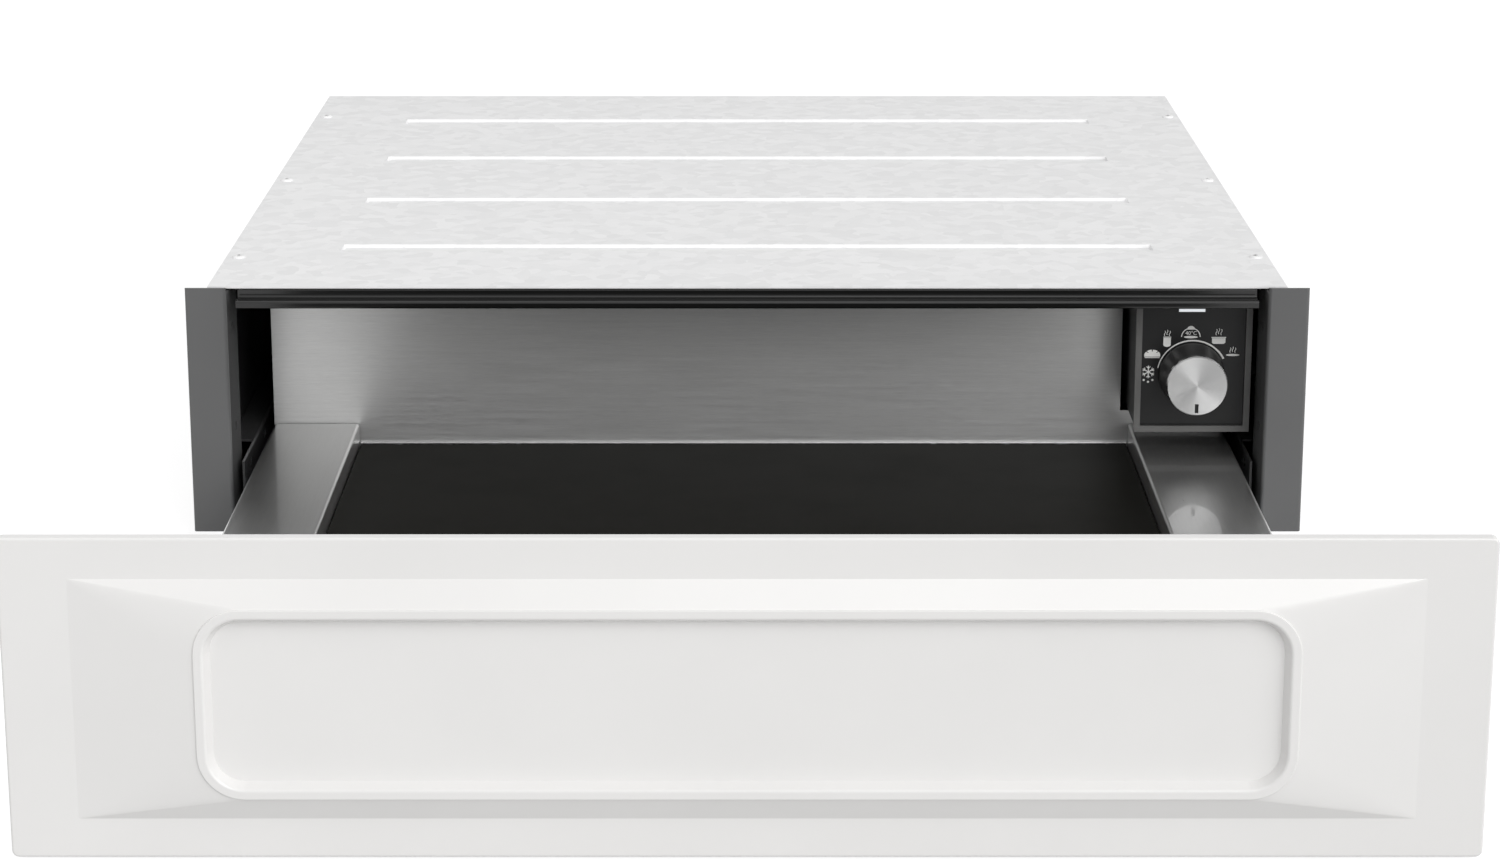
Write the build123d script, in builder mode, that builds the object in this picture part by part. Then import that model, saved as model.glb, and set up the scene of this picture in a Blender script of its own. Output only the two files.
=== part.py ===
"""A built-in warming drawer, pulled out of its casing.

x runs across, y from the front face of the casing's flanges back into the niche, and z up from
the underside of the casing. The drawer stands open by its whole travel, and slides back along +y.
The finished pieces are moved so that the origin is the middle of the casing's underside.
"""

import os
from math import atan2, degrees

from build123d import *

os.makedirs("parts", exist_ok=True)

# ------------------------------------------------------------------------------- casing
case_width = 558.0
case_depth = 548.0
cover_top = 135.3
case_sheet = 1.0
base_step = 5.5  # the front strip of the base stands this much above the rest
base_strip = 22.0  # depth of that strip
joggle_run = 5.0
base_upturn = 10.0
bend = 1.6  # outer bend radius of the folded sheets
bead_width = 16.0
bead_rise = 1.6
bead_taper = 25.0
cover_beads = 4
cover_bead_margin = 59.0
base_beads = 4
base_bead_margin = 79.0
side_fold = 12.0

# front flanges and the rail between them
flange_overlap = 10.4  # beyond the casing's side
flange_inset = 10.8  # inside the casing's side
flange_rise = 1.2  # above the cover
flange_gauge = 1.2
flange_hem = 6.0
hem_relief = 3.0  # the hem stops this much below the flange's top
flange_return = 36.0
flange_tab = 17.0
rail_setback = 8.6
rail_end_gap = 4.9
rail_lip_drop = 5.8  # from the cover's top down to the lip's ledge
rail_lip_height = 4.0
rail_hem = 7.0
rail_tail = 22.0
side_fixing_y = 18.0
side_fixing_low = 58.0
side_fixing_spacing = 54.0
side_fixing_hole = 5.0

# rear partition and vents
rear_room = 60.0  # from the partition's face to the casing's back
partition_gap = 2.0  # behind the closed drawer
partition_fold = 12.0
vent_slot = 26.0
vent_width = 4.0
vent_spacing = 34.0
vents_in_row = 6
outlet_height = 9.0
outlet_below_cover = 4.0
inlet_rows = 3
inlet_row_spacing = 14.0

# ------------------------------------------------------------------------------- drawer
closed_gap = 1.6  # between the carrier's back and the flanges when shut
drawer_shelter = 80.6  # how much of its inside stays in the casing when it is open
front_overlap = 19.5
front_rise = 1.5
front_bottom = 0.8
front_corner = 3.0
front_gauge = 1.2
front_return = 5.0
front_thickness = 20.0
border_side = 28.0
border_level = 17.0
slope_side = 49.75
slope_level = 10.8
emboss_rise = 6.5
bead_corner = 19.0
crest_width = 4.0
crest_rise = 0.7
crest_outer_round = 0.5
crest_inner_round = 1.4
edge_round = 1.1
field_wall = 2.0  # how far the field's wall leans in
field_depth = 4.4
sharp_corner = 0.6

carrier_inset = 14.5
carrier_low = 10.0
carrier_drop = 7.3
carrier_sheet = 1.0
carrier_rim = 7.0
bumper_radius = 5.0
bumper_inset = 6.0
bumper_squash = 0.1

runner_space = 26.8  # from the side panel to the pan
pan_bottom = 7.5
pan_depth = 19.2
pan_sheet = 1.0
pan_behind_wall = 8.0

ledge_height = 15.2
ledge_overhang = 5.4
left_ledge_cover = 40.7
right_ledge_cover = 44.7
ledge_foot = 14.0
ledge_lip_gap = 1.8
ledge_back_gap = 1.0

glass_thickness = 4.0
glass_side_gap = 0.5
trim_depth = 1.6
trim_height = 4.9
trim_gap = 0.3

wall_below_lip = 7.5
wall_sheet = 1.0
wall_notch_gap = 2.0
wall_top_return = 6.0
wall_corner = 3.0

# ------------------------------------------------------------------------------- runners
bracket_standoff = 14.0
bracket_below_ledge = 2.4
bracket_gauge = 1.2
bracket_tab = 9.5
bracket_foot = 12.0
bracket_front = 15.0
bracket_shelf_front = 56.0
bracket_foot_front = 30.0
bracket_rear_gap = 4.0
bracket_slot = 9.0
bracket_slot_width = 3.6
bracket_slot_drop = 6.9
bracket_slot_spacing = 54.5
bracket_slot_margin = 20.0
first_slot_y = 36.0

rail_gauge = 1.2
rail_height = 18.8
rail_depth = 11.6
rail_bend = 1.5
web_gap = 0.6
roller_gap = 1.8
roller_clearance = 0.1
roller_length = 5.0
roller_inset = 3.0
rollers_per_strip = 3
roller_spacing = 70.0
strip_gauge = 0.5
strip_end = 8.0
mid_gauge = 1.0
mid_closed_front = 20.0
mid_rear_gap = 6.0
fixed_front = 16.0
fixed_rear_gap = 17.0

# ------------------------------------------------------------------------------- control box
frame_side_gap = 13.1
frame_width = 60.8
frame_below_lip = 4.0
frame_above_ledge = 9.3
frame_bar = 3.2
frame_y = 30.0
frame_thickness = 2.0
fascia_thickness = 2.0
fascia_hole = 9.0
housing_depth = 78.0
housing_wall = 1.5
housing_rim = 1.2  # the housing stands this much inside the frame's edge
ear_width = 26.0
ear_height = 5.0
ear_y = 96.0
ear_spacing = 36.0
lens_from_left = 29.1
lens_width = 15.3
lens_height = 2.6
lens_depth = 5.0
lens_from_top = 4.6
lens_stand = 0.4
lens_gap = 0.1
knob_from_left = 30.0
knob_below_middle = 4.35
knob_front_y = 8.0
knob_radius = 16.0
cap_thickness = 3.0
cap_chamfer = 0.6
skirt_base_radius = 17.3
skirt_gap = 0.4
index_length = 4.8
index_width = 1.9
index_from_axis = 12.0
index_gap = 0.05
shaft_radius = 3.0
shaft_clearance = 0.05
switch_size = 32.0
switch_depth = 24.0
switch_boss_radius = 4.4
tag_length = 8.0
tag_width = 6.3
tag_gauge = 0.8
duct_height = 14.0
duct_width = 22.0
duct_from_top = 9.0
duct_wall = 1.0
wire_hole = 4.0

# ------------------------------------------------------------------------------- rear compartment
rotor_setback = 29.0
rotor_z = 60.0
rotor_radius = 21.0
rotor_left = -110.0
rotor_right = 60.0
rotor_disc = 1.5
rotor_blades = 20
blade_chord = 6.5
blade_gauge = 0.8
blade_angle = 35.0
blade_inset = 4.0
rotor_shaft_radius = 2.5
shaft_left_reach = 8.0
shaft_in_motor = 28.0
scroll_gap = 4.0
scroll_sheet = 1.0
scroll_end_gap = 3.0
scroll_throat = 22.0
motor_width = 44.0
motor_stack = 18.0
motor_end_gap = 7.0
coil_radius = 11.0
coil_length = 26.0
coil_drop = 17.0
heater_radius = 3.2
heater_behind_rotor = 13.0
heater_above_rotor = 34.0
heater_spacing = 14.0
heater_left_gap = 14.0
heater_lead = 10.0
cutout_radius = 8.0
cutout_height = 7.0
sensor_x = -165.0
sensor_z = 95.0
sensor_radius = 2.6
sensor_length = 24.0
sensor_head = 5.5
gland_from_side = 42.0
gland_z = 32.0
gland_radius = 8.0
gland_flange = 11.0
gland_bore = 4.5
gland_inside = 12.0
terminal_from_side = 53.0
terminal_from_back = 35.0
terminal_width = 46.0
terminal_length = 22.0
terminal_height = 18.0
terminal_poles = 3
terminal_spacing = 13.0
terminal_screw_radius = 3.2
terminal_screw_depth = 5.0

# touch latch
latch_x = 150.0
latch_z = 76.0
latch_width = 26.0
latch_height = 20.0
latch_rear_gap = 14.0
plunger_radius = 4.0
plunger_length = 42.0
plunger_tip_gap = 0.3
plunger_clearance = 0.1
plunger_throw = 8.0

# screws
screw_shank = 1.7
screw_head = 3.5
screw_head_height = 1.1
screw_clearance = 0.1
small_sides = 8  # of the many small round forms: screws, their holes and the rollers
cover_screw_margin = 75.0
flange_screw_low = 66.0
flange_screw_spacing = 38.0
rail_screw_margin = 70.0
front_screw_spacing = 125.0
front_screw_count = 4

# ------------------------------------------------------------- places worked out from the sizes
inner_half = case_width / 2 - case_sheet
cover_bottom = cover_top - case_sheet
opening_half = case_width / 2 - flange_inset
flange_half = case_width / 2 + flange_overlap
flange_height = cover_top + flange_rise - base_step
joggle_back = base_strip + joggle_run
lip_top = cover_top - rail_lip_drop
lip_bottom = lip_top - rail_lip_height
rail_half = opening_half - rail_end_gap
side_fixing_z = (side_fixing_low, side_fixing_low + side_fixing_spacing)
fold_start = flange_return + flange_tab + flange_gauge + bend
back_inner_y = case_depth - case_sheet
cover_bead_length = case_width - 2 * cover_bead_margin
base_bead_length = case_width - 2 * base_bead_margin

partition_y = case_depth - rear_room
partition_back_y = partition_y + case_sheet
rear_mid_y = (partition_back_y + back_inner_y) / 2
wall_closed_y = partition_y - partition_gap - pan_behind_wall - wall_sheet
drawer_inner_length = wall_closed_y + closed_gap
drawer_travel = drawer_inner_length - drawer_shelter
carrier_back_y = -closed_gap - drawer_travel
front_y = carrier_back_y - front_thickness
front_width = case_width + 2 * front_overlap
front_height = cover_top + front_rise - front_bottom
front_mid_z = front_bottom + front_height / 2
bead_outer_width = front_width - 2 * (border_side + slope_side)
bead_outer_height = front_height - 2 * (border_level + slope_level)
carrier_width = front_width - 2 * carrier_inset
carrier_high = cover_top - carrier_drop
carrier_height = carrier_high - carrier_low
carrier_mid_z = (carrier_high + carrier_low) / 2
bumper_x = (opening_half + flange_half) / 2
wall_y = carrier_back_y + drawer_inner_length
wall_back_y = wall_y + wall_sheet
pan_rear_y = wall_back_y + pan_behind_wall
pan_half = inner_half - runner_space
pan_width = 2 * pan_half
pan_floor_top = pan_bottom + pan_depth
ledge_top = pan_floor_top + ledge_height
ledge_outer = pan_half + ledge_overhang
ledge_lip_bottom = pan_floor_top + ledge_lip_gap
left_ledge_inner = pan_half - left_ledge_cover
right_ledge_inner = pan_half - right_ledge_cover

bracket_face = inner_half - bracket_standoff
bracket_top = ledge_top - bracket_below_ledge
bracket_rear = partition_y - bracket_rear_gap
bracket_slot_z = bracket_top - bracket_slot_drop
bracket_slots = int((bracket_rear - first_slot_y - bracket_slot_margin) // bracket_slot_spacing) + 1
rail_bottom = pan_bottom
rail_top = rail_bottom + rail_height
fixed_rear_y = partition_y - fixed_rear_gap
rail_length = fixed_rear_y - fixed_front
mid_web = bracket_face - rail_gauge - web_gap
mid_bottom = rail_bottom + rail_gauge + roller_gap
mid_top = rail_top - rail_gauge - roller_gap
mouth = bracket_face - rail_depth
inner_bottom = mid_bottom + mid_gauge + roller_gap
inner_top = mid_top - mid_gauge - roller_gap
mid_front_y = mid_closed_front - drawer_travel / 2
mid_length = fixed_rear_y - mid_rear_gap - mid_closed_front
mid_rear_y = mid_front_y + mid_length
drawer_rail_front_y = carrier_back_y + 2 * pan_sheet

frame_right = inner_half - frame_side_gap
frame_left = frame_right - frame_width
frame_top = lip_bottom - frame_below_lip
frame_bottom = ledge_top + frame_above_ledge
frame_height = frame_top - frame_bottom
frame_mid_x = (frame_left + frame_right) / 2
frame_mid_z = (frame_bottom + frame_top) / 2
fascia_y = frame_y + frame_thickness
fascia_back_y = fascia_y + fascia_thickness
housing_back_y = fascia_back_y + housing_depth
lens_x = frame_left + lens_from_left
lens_z = frame_top - lens_from_top
knob_x = frame_left + knob_from_left
knob_z = frame_mid_z - knob_below_middle
knob_axis = Axis((knob_x, 0, knob_z), (0, 1, 0))
duct_x = inner_half - duct_width / 2
duct_z = frame_top - duct_from_top
wall_top = lip_bottom - wall_below_lip
wall_notch_x = frame_left - wall_notch_gap
wall_notch_z = frame_bottom - wall_notch_gap

rotor_y = partition_back_y + rotor_setback
rotor_mid_x = (rotor_left + rotor_right) / 2
outlet_mid_z = cover_bottom - outlet_below_cover - outlet_height / 2
heater_y = rotor_y + heater_behind_rotor
heater_low = rotor_z + heater_above_rotor
heater_high = heater_low + heater_spacing
heater_left = rotor_left + heater_left_gap
gland_x = gland_from_side - inner_half
terminal_x = terminal_from_side - inner_half
terminal_y = back_inner_y - terminal_from_back
latch_depth = back_inner_y - partition_back_y - latch_rear_gap

pieces = {}


# ------------------------------------------------------------------------------- shared forms
def across(y):
    """The upright plane that faces the front, at depth y."""
    return Plane.XZ.offset(-y)


def folded_section(plane, points, gauge, radius, side):
    """The section of a folded sheet: an open outline with round bends, thickened to one side."""
    with BuildSketch(plane) as section:
        with BuildLine():
            FilletPolyline(*points, radius=radius)
            offset(amount=gauge, side=side)
        make_face()
    return section.sketch


def mirrored(piece):
    """The left-hand twin of a right-hand piece."""
    with BuildPart() as twin:
        mirror(piece.part, about=Plane.YZ)
    return twin


def screw_along(plane, length):
    """A pan-head screw: its head stands on the plane, its shank runs back from it."""
    with BuildPart() as screw:
        with BuildSketch(plane):
            RegularPolygon(screw_head, small_sides)
        extrude(amount=screw_head_height)
        with BuildSketch(plane):
            RegularPolygon(screw_shank, small_sides)
        extrude(amount=-length)
    return screw.part


def screw_group(planes, length):
    """Screws that share one node."""
    with BuildPart() as group:
        for plane in planes:
            add(screw_along(plane, length))
    return group


# ------------------------------------------------------------------------------- screw places
def evenly(start, end, count):
    """Places at equal steps from start to end."""
    return [start + (end - start) * step / (count - 1) for step in range(count)]


cover_screw_x = inner_half - side_fold / 2
cover_screw_rows = evenly(cover_screw_margin, case_depth - cover_screw_margin, 3)
cover_screws_at = [
    Plane((side * cover_screw_x, y, cover_top), z_dir=(0, 0, 1))
    for side in (-1, 1)
    for y in cover_screw_rows
]
flange_screw_y = flange_return + flange_tab / 2 + flange_gauge
flange_screw_z = (flange_screw_low, flange_screw_low + flange_screw_spacing)
flange_screws_at = [
    Plane((side * (inner_half - flange_gauge), flange_screw_y, z), z_dir=(-side, 0, 0))
    for side in (-1, 1)
    for z in flange_screw_z
]
rail_screw_z = (rail_bottom + rail_top) / 2
rail_screw_rows = evenly(fixed_front + rail_screw_margin, fixed_rear_y - rail_screw_margin, 3)
fixed_screws_at = [
    Plane((side * (bracket_face + bracket_gauge), y, rail_screw_z), z_dir=(side, 0, 0))
    for side in (-1, 1)
    for y in rail_screw_rows
]
drawer_screw_rows = [y - drawer_travel for y in rail_screw_rows]
drawer_rail_screws_at = [
    Plane((side * (pan_half - pan_sheet), y, rail_screw_z), z_dir=(-side, 0, 0))
    for side in (-1, 1)
    for y in drawer_screw_rows
]
front_screw_z = (carrier_low + pan_floor_top) / 2
front_screw_reach = front_screw_spacing * (front_screw_count - 1) / 2
front_screw_row = evenly(-front_screw_reach, front_screw_reach, front_screw_count)
front_screws_at = [
    Plane((x, carrier_back_y + pan_sheet, front_screw_z), z_dir=(0, 1, 0)) for x in front_screw_row
]

# ------------------------------------------------------------------------------- casing
with BuildPart() as base_plate:
    outline = [(case_depth, 0), (joggle_back, 0), (base_strip, base_step), (flange_gauge, base_step)]
    extrude(
        folded_section(Plane.YZ.offset(-inner_half), outline, case_sheet, bend, Side.RIGHT),
        amount=2 * inner_half,
    )
    upturn_length = back_inner_y - case_sheet - joggle_back - bend
    with BuildSketch(Plane.XY.offset(case_sheet)):
        with Locations((0, joggle_back + bend + upturn_length / 2)):
            with GridLocations(2 * inner_half - case_sheet, 0, 2, 1):
                Rectangle(case_sheet, upturn_length)
    extrude(amount=base_upturn)
    with BuildSketch(Plane.XY.offset(case_sheet)):
        with Locations((0, case_depth / 2)):
            with GridLocations(0, case_depth / (base_beads + 1), 1, base_beads):
                Rectangle(base_bead_length, bead_width)
    extrude(amount=bead_rise, taper=bead_taper)
    with BuildSketch(Plane.XY):
        with Locations((0, case_depth / 2)):
            with GridLocations(0, case_depth / (base_beads + 1), 1, base_beads):
                Rectangle(base_bead_length - 2 * case_sheet, bead_width - 2 * case_sheet)
    extrude(amount=bead_rise, taper=bead_taper, mode=Mode.SUBTRACT)
pieces["base_plate"] = base_plate

with BuildPart() as right_side_panel:
    with BuildSketch(Plane.YZ.offset(inner_half)):
        with BuildLine():
            Polyline(
                (flange_gauge, base_step),
                (base_strip, base_step),
                (joggle_back, 0),
                (case_depth, 0),
                (case_depth, cover_bottom),
                (flange_gauge, cover_bottom),
                close=True,
            )
        make_face()
    extrude(amount=case_sheet)
    fold_length = back_inner_y - fold_start
    with BuildSketch(Plane.XY.offset(cover_bottom)):
        with Locations((inner_half - side_fold / 2, fold_start + fold_length / 2)):
            Rectangle(side_fold, fold_length)
    extrude(amount=-case_sheet)
    with BuildSketch(Plane.YZ.offset(inner_half)):
        with Locations(*[(side_fixing_y, z) for z in side_fixing_z]):
            Circle(side_fixing_hole / 2)
        with Locations(*[(flange_screw_y, z) for z in flange_screw_z]):
            RegularPolygon(screw_shank + screw_clearance, small_sides)
        with Locations((rear_mid_y, rotor_z)):
            with GridLocations(2 * vent_width, 0, 5, 1):
                Rectangle(vent_width, vent_slot)
    extrude(amount=case_sheet, mode=Mode.SUBTRACT)
    with BuildSketch(Plane.XY.offset(cover_bottom)):
        with Locations(*[(cover_screw_x, y) for y in cover_screw_rows]):
            RegularPolygon(screw_shank + screw_clearance, small_sides)
    extrude(amount=-case_sheet, mode=Mode.SUBTRACT)
pieces["right_side_panel"] = right_side_panel
pieces["left_side_panel"] = mirrored(right_side_panel)

with BuildPart() as top_cover:
    cover_length = case_depth - rail_setback
    cover_mid_y = rail_setback + cover_length / 2
    with BuildSketch(Plane.XY.offset(cover_bottom)):
        with Locations((0, cover_mid_y)):
            Rectangle(case_width, cover_length)
    extrude(amount=case_sheet)
    with BuildSketch(Plane((0, cover_mid_y, cover_bottom), x_dir=(1, 0, 0), z_dir=(0, 0, -1))):
        with GridLocations(0, cover_length / (cover_beads + 0.5), 1, cover_beads):
            Rectangle(cover_bead_length, bead_width)
    extrude(amount=bead_rise, taper=bead_taper)
    with BuildSketch(Plane((0, cover_mid_y, cover_top), x_dir=(1, 0, 0), z_dir=(0, 0, -1))):
        with GridLocations(0, cover_length / (cover_beads + 0.5), 1, cover_beads):
            Rectangle(cover_bead_length - 2 * case_sheet, bead_width - 2 * case_sheet)
    extrude(amount=bead_rise, taper=bead_taper, mode=Mode.SUBTRACT)
    with BuildSketch(Plane.XY.offset(cover_bottom)):
        with Locations(*[(plane.origin.X, plane.origin.Y) for plane in cover_screws_at]):
            RegularPolygon(screw_shank + screw_clearance, small_sides)
    extrude(amount=case_sheet, mode=Mode.SUBTRACT)
pieces["top_cover"] = top_cover

with BuildPart() as back_panel:
    with BuildSketch(across(case_depth)):
        with Locations((0, (case_sheet + cover_bottom) / 2)):
            Rectangle(2 * inner_half, cover_bottom - case_sheet)
        with Locations((gland_x, gland_z)):
            Circle(gland_radius + screw_clearance, mode=Mode.SUBTRACT)
        with Locations((rotor_mid_x, cover_bottom / 2)):
            with GridLocations(vent_spacing, 2 * vent_width, vents_in_row, 3):
                Rectangle(vent_slot, vent_width, mode=Mode.SUBTRACT)
    extrude(amount=case_sheet)
    flange_foot = case_sheet + base_upturn + case_sheet
    with BuildSketch(across(back_inner_y)):
        with Locations((0, (flange_foot + cover_bottom - 2 * case_sheet) / 2)):
            with GridLocations(2 * inner_half - case_sheet, 0, 2, 1):
                Rectangle(case_sheet, cover_bottom - 2 * case_sheet - flange_foot)
    extrude(amount=side_fold)
pieces["back_panel"] = back_panel

with BuildPart() as rear_partition:
    corner = base_upturn + case_sheet
    with BuildSketch(across(partition_back_y)):
        with Locations((0, (case_sheet + cover_bottom) / 2)):
            Rectangle(2 * inner_half, cover_bottom - case_sheet)
        with Locations((0, case_sheet + corner / 2)):
            with GridLocations(2 * inner_half, 0, 2, 1):
                Rectangle(4 * case_sheet, corner, mode=Mode.SUBTRACT)
        with Locations((0, cover_bottom)):
            with GridLocations(2 * inner_half, 0, 2, 1):
                Rectangle(2 * (side_fold + case_sheet), 4 * case_sheet, mode=Mode.SUBTRACT)
        with Locations((rotor_mid_x, outlet_mid_z)):
            with GridLocations(vent_spacing, 0, vents_in_row - 1, 1):
                Rectangle(vent_slot, outlet_height, mode=Mode.SUBTRACT)
        with Locations((rotor_mid_x, rotor_z)):
            with GridLocations(vent_spacing, inlet_row_spacing, vents_in_row - 1, inlet_rows):
                Rectangle(vent_slot, vent_width, mode=Mode.SUBTRACT)
        with Locations((latch_x, latch_z)):
            Circle(plunger_radius + 2 * plunger_clearance, mode=Mode.SUBTRACT)
        with Locations((sensor_x, sensor_z)):
            Circle(sensor_radius + screw_clearance, mode=Mode.SUBTRACT)
        with Locations((duct_x, duct_z)):
            Rectangle(duct_width / 2, duct_height / 2, mode=Mode.SUBTRACT)
    extrude(amount=case_sheet)
    with BuildSketch(Plane.XY.offset(cover_bottom)):
        with Locations((0, partition_back_y + partition_fold / 2)):
            Rectangle(2 * (inner_half - side_fold - case_sheet), partition_fold)
        with Locations((0, partition_y + case_sheet / 2)):
            Rectangle(2 * (inner_half - side_fold - case_sheet), case_sheet)
    extrude(amount=-case_sheet)
pieces["rear_partition"] = rear_partition

with BuildPart() as right_front_flange:
    outline = [
        (flange_half, flange_hem),
        (flange_half, 0),
        (opening_half, 0),
        (opening_half, flange_return),
        (inner_half - flange_gauge, flange_return),
        (inner_half - flange_gauge, flange_return + flange_tab),
    ]
    extrude(
        folded_section(Plane.XY.offset(base_step), outline, flange_gauge, bend, Side.RIGHT),
        amount=flange_height,
    )
    with BuildSketch(Plane.XY.offset(base_step + flange_height)):
        with Locations((flange_half, flange_gauge + flange_hem / 2)):
            Rectangle(2 * bend + 2 * flange_gauge, flange_hem)
    extrude(amount=-hem_relief, mode=Mode.SUBTRACT)
    with BuildSketch(Plane.YZ.offset(opening_half - case_sheet)):
        with BuildLine():
            Polyline(
                (flange_gauge, 0),
                (flange_gauge, base_step + case_sheet),
                (flange_return - flange_gauge, base_step + case_sheet),
                (flange_return - flange_gauge, case_sheet + base_upturn),
                (fold_start, case_sheet + base_upturn),
                (fold_start, 0),
                close=True,
            )
        make_face()
        with BuildLine():
            Polyline(
                (flange_gauge, cover_bottom - case_sheet),
                (fold_start, cover_bottom - case_sheet),
                (fold_start, 2 * cover_top),
                (flange_gauge, 2 * cover_top),
                close=True,
            )
        make_face()
    extrude(amount=inner_half + 2 * case_sheet - opening_half, mode=Mode.SUBTRACT)
    with BuildSketch(Plane.YZ.offset(opening_half)):
        with Locations(*[(side_fixing_y, z) for z in side_fixing_z]):
            Circle(side_fixing_hole / 2)
        with Locations(*[(flange_screw_y, z) for z in flange_screw_z]):
            RegularPolygon(screw_shank + screw_clearance, small_sides)
    extrude(amount=inner_half - opening_half, mode=Mode.SUBTRACT)
pieces["right_front_flange"] = right_front_flange
pieces["left_front_flange"] = mirrored(right_front_flange)

with BuildPart() as top_front_rail:
    outline = [
        (rail_setback + rail_tail, cover_bottom),
        (rail_setback, cover_bottom),
        (rail_setback, lip_top),
        (0, lip_top),
        (0, lip_bottom),
        (rail_hem, lip_bottom),
    ]
    extrude(
        folded_section(Plane.YZ.offset(-rail_half), outline, case_sheet, case_sheet * 1.2, Side.LEFT),
        amount=2 * rail_half,
    )
pieces["top_front_rail"] = top_front_rail

# ------------------------------------------------------------------------------- runners
with BuildPart() as right_runner_bracket:
    outline = [
        (inner_half, bracket_top - bracket_tab),
        (inner_half, bracket_top),
        (bracket_face, bracket_top),
        (bracket_face, case_sheet + bracket_gauge),
        (bracket_face - bracket_foot, case_sheet + bracket_gauge),
    ]
    extrude(
        folded_section(across(bracket_rear), outline, bracket_gauge, bend, Side.LEFT),
        amount=bracket_rear - bracket_front,
    )
    with BuildSketch(across(bracket_shelf_front)):
        with BuildLine():
            Polyline(
                (bracket_face + bracket_gauge, bracket_top - bracket_tab - bracket_gauge),
                (inner_half + bracket_gauge, bracket_top - bracket_tab - bracket_gauge),
                (inner_half + bracket_gauge, bracket_top + bracket_gauge),
                (bracket_face + bracket_gauge, bracket_top + bracket_gauge),
                close=True,
            )
        make_face()
    extrude(amount=bracket_shelf_front - bracket_front, mode=Mode.SUBTRACT)
    with BuildSketch(across(bracket_foot_front)):
        with Locations((bracket_face - bracket_foot / 2, rail_bottom / 2)):
            Rectangle(2 * bracket_foot, rail_bottom)
    extrude(amount=bracket_foot_front - bracket_front, mode=Mode.SUBTRACT)
    with BuildSketch(Plane.YZ.offset(bracket_face)):
        with Locations((first_slot_y + (bracket_slots - 1) * bracket_slot_spacing / 2, bracket_slot_z)):
            with GridLocations(bracket_slot_spacing, 0, bracket_slots, 1):
                Rectangle(bracket_slot, bracket_slot_width)
        with Locations(*[(y, rail_screw_z) for y in rail_screw_rows]):
            RegularPolygon(screw_shank + screw_clearance, small_sides)
    extrude(amount=bracket_gauge, mode=Mode.SUBTRACT)
pieces["right_runner_bracket"] = right_runner_bracket
pieces["left_runner_bracket"] = mirrored(right_runner_bracket)

with BuildPart() as right_fixed_rail:
    outline = [
        (mouth, rail_bottom),
        (bracket_face, rail_bottom),
        (bracket_face, rail_top),
        (mouth, rail_top),
    ]
    extrude(
        folded_section(across(fixed_rear_y), outline, rail_gauge, rail_bend, Side.LEFT),
        amount=rail_length,
    )
    with BuildSketch(Plane.YZ.offset(bracket_face - rail_gauge)):
        with Locations(*[(y, rail_screw_z) for y in rail_screw_rows]):
            RegularPolygon(screw_shank + screw_clearance, small_sides)
    extrude(amount=rail_gauge, mode=Mode.SUBTRACT)
pieces["right_fixed_rail"] = right_fixed_rail
pieces["left_fixed_rail"] = mirrored(right_fixed_rail)

with BuildPart() as right_mid_rail:
    outline = [
        (mouth + web_gap, mid_bottom),
        (mid_web, mid_bottom),
        (mid_web, mid_top),
        (mouth + web_gap, mid_top),
    ]
    extrude(
        folded_section(across(mid_rear_y), outline, mid_gauge, rail_bend, Side.LEFT),
        amount=mid_length,
    )
pieces["right_mid_rail"] = right_mid_rail
pieces["left_mid_rail"] = mirrored(right_mid_rail)

# The rollers that carry the drawer sit in strips on the middle rail: the outer pair at its rear
# runs in the fixed rail, the inner pair at its front carries the drawer rail.
roller_radius = roller_gap / 2 - roller_clearance
strip_length = (rollers_per_strip - 1) * roller_spacing + 2 * strip_end
outer_strip_y = mid_rear_y - strip_end - strip_length / 2
inner_strip_y = mid_front_y + strip_end + strip_length / 2
roller_x = mouth + roller_inset
with BuildPart() as right_roller_strips:
    for strip_y, levels in (
        (outer_strip_y, (mid_bottom - roller_gap / 2, mid_top + roller_gap / 2)),
        (inner_strip_y, (inner_bottom - roller_gap / 2, inner_top + roller_gap / 2)),
    ):
        for level in levels:
            with BuildSketch(Plane.YZ.offset(roller_x)):
                with Locations((strip_y, level)):
                    Rectangle(strip_length, strip_gauge)
                    with GridLocations(roller_spacing, 0, rollers_per_strip, 1):
                        RegularPolygon(roller_radius, small_sides)
            extrude(amount=roller_length)
pieces["right_roller_strips"] = right_roller_strips
pieces["left_roller_strips"] = mirrored(right_roller_strips)

with BuildPart() as right_drawer_rail:
    outline = [
        (mid_web - mid_gauge - web_gap, inner_bottom),
        (pan_half, inner_bottom),
        (pan_half, inner_top),
        (mid_web - mid_gauge - web_gap, inner_top),
    ]
    extrude(
        folded_section(
            across(drawer_rail_front_y + rail_length), outline, rail_gauge, rail_bend, Side.RIGHT
        ),
        amount=rail_length,
    )
    with BuildSketch(Plane.YZ.offset(pan_half)):
        with Locations(*[(y, rail_screw_z) for y in drawer_screw_rows]):
            RegularPolygon(screw_shank + screw_clearance, small_sides)
    extrude(amount=rail_gauge, mode=Mode.SUBTRACT)
pieces["right_drawer_rail"] = right_drawer_rail
pieces["left_drawer_rail"] = mirrored(right_drawer_rail)

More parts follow.
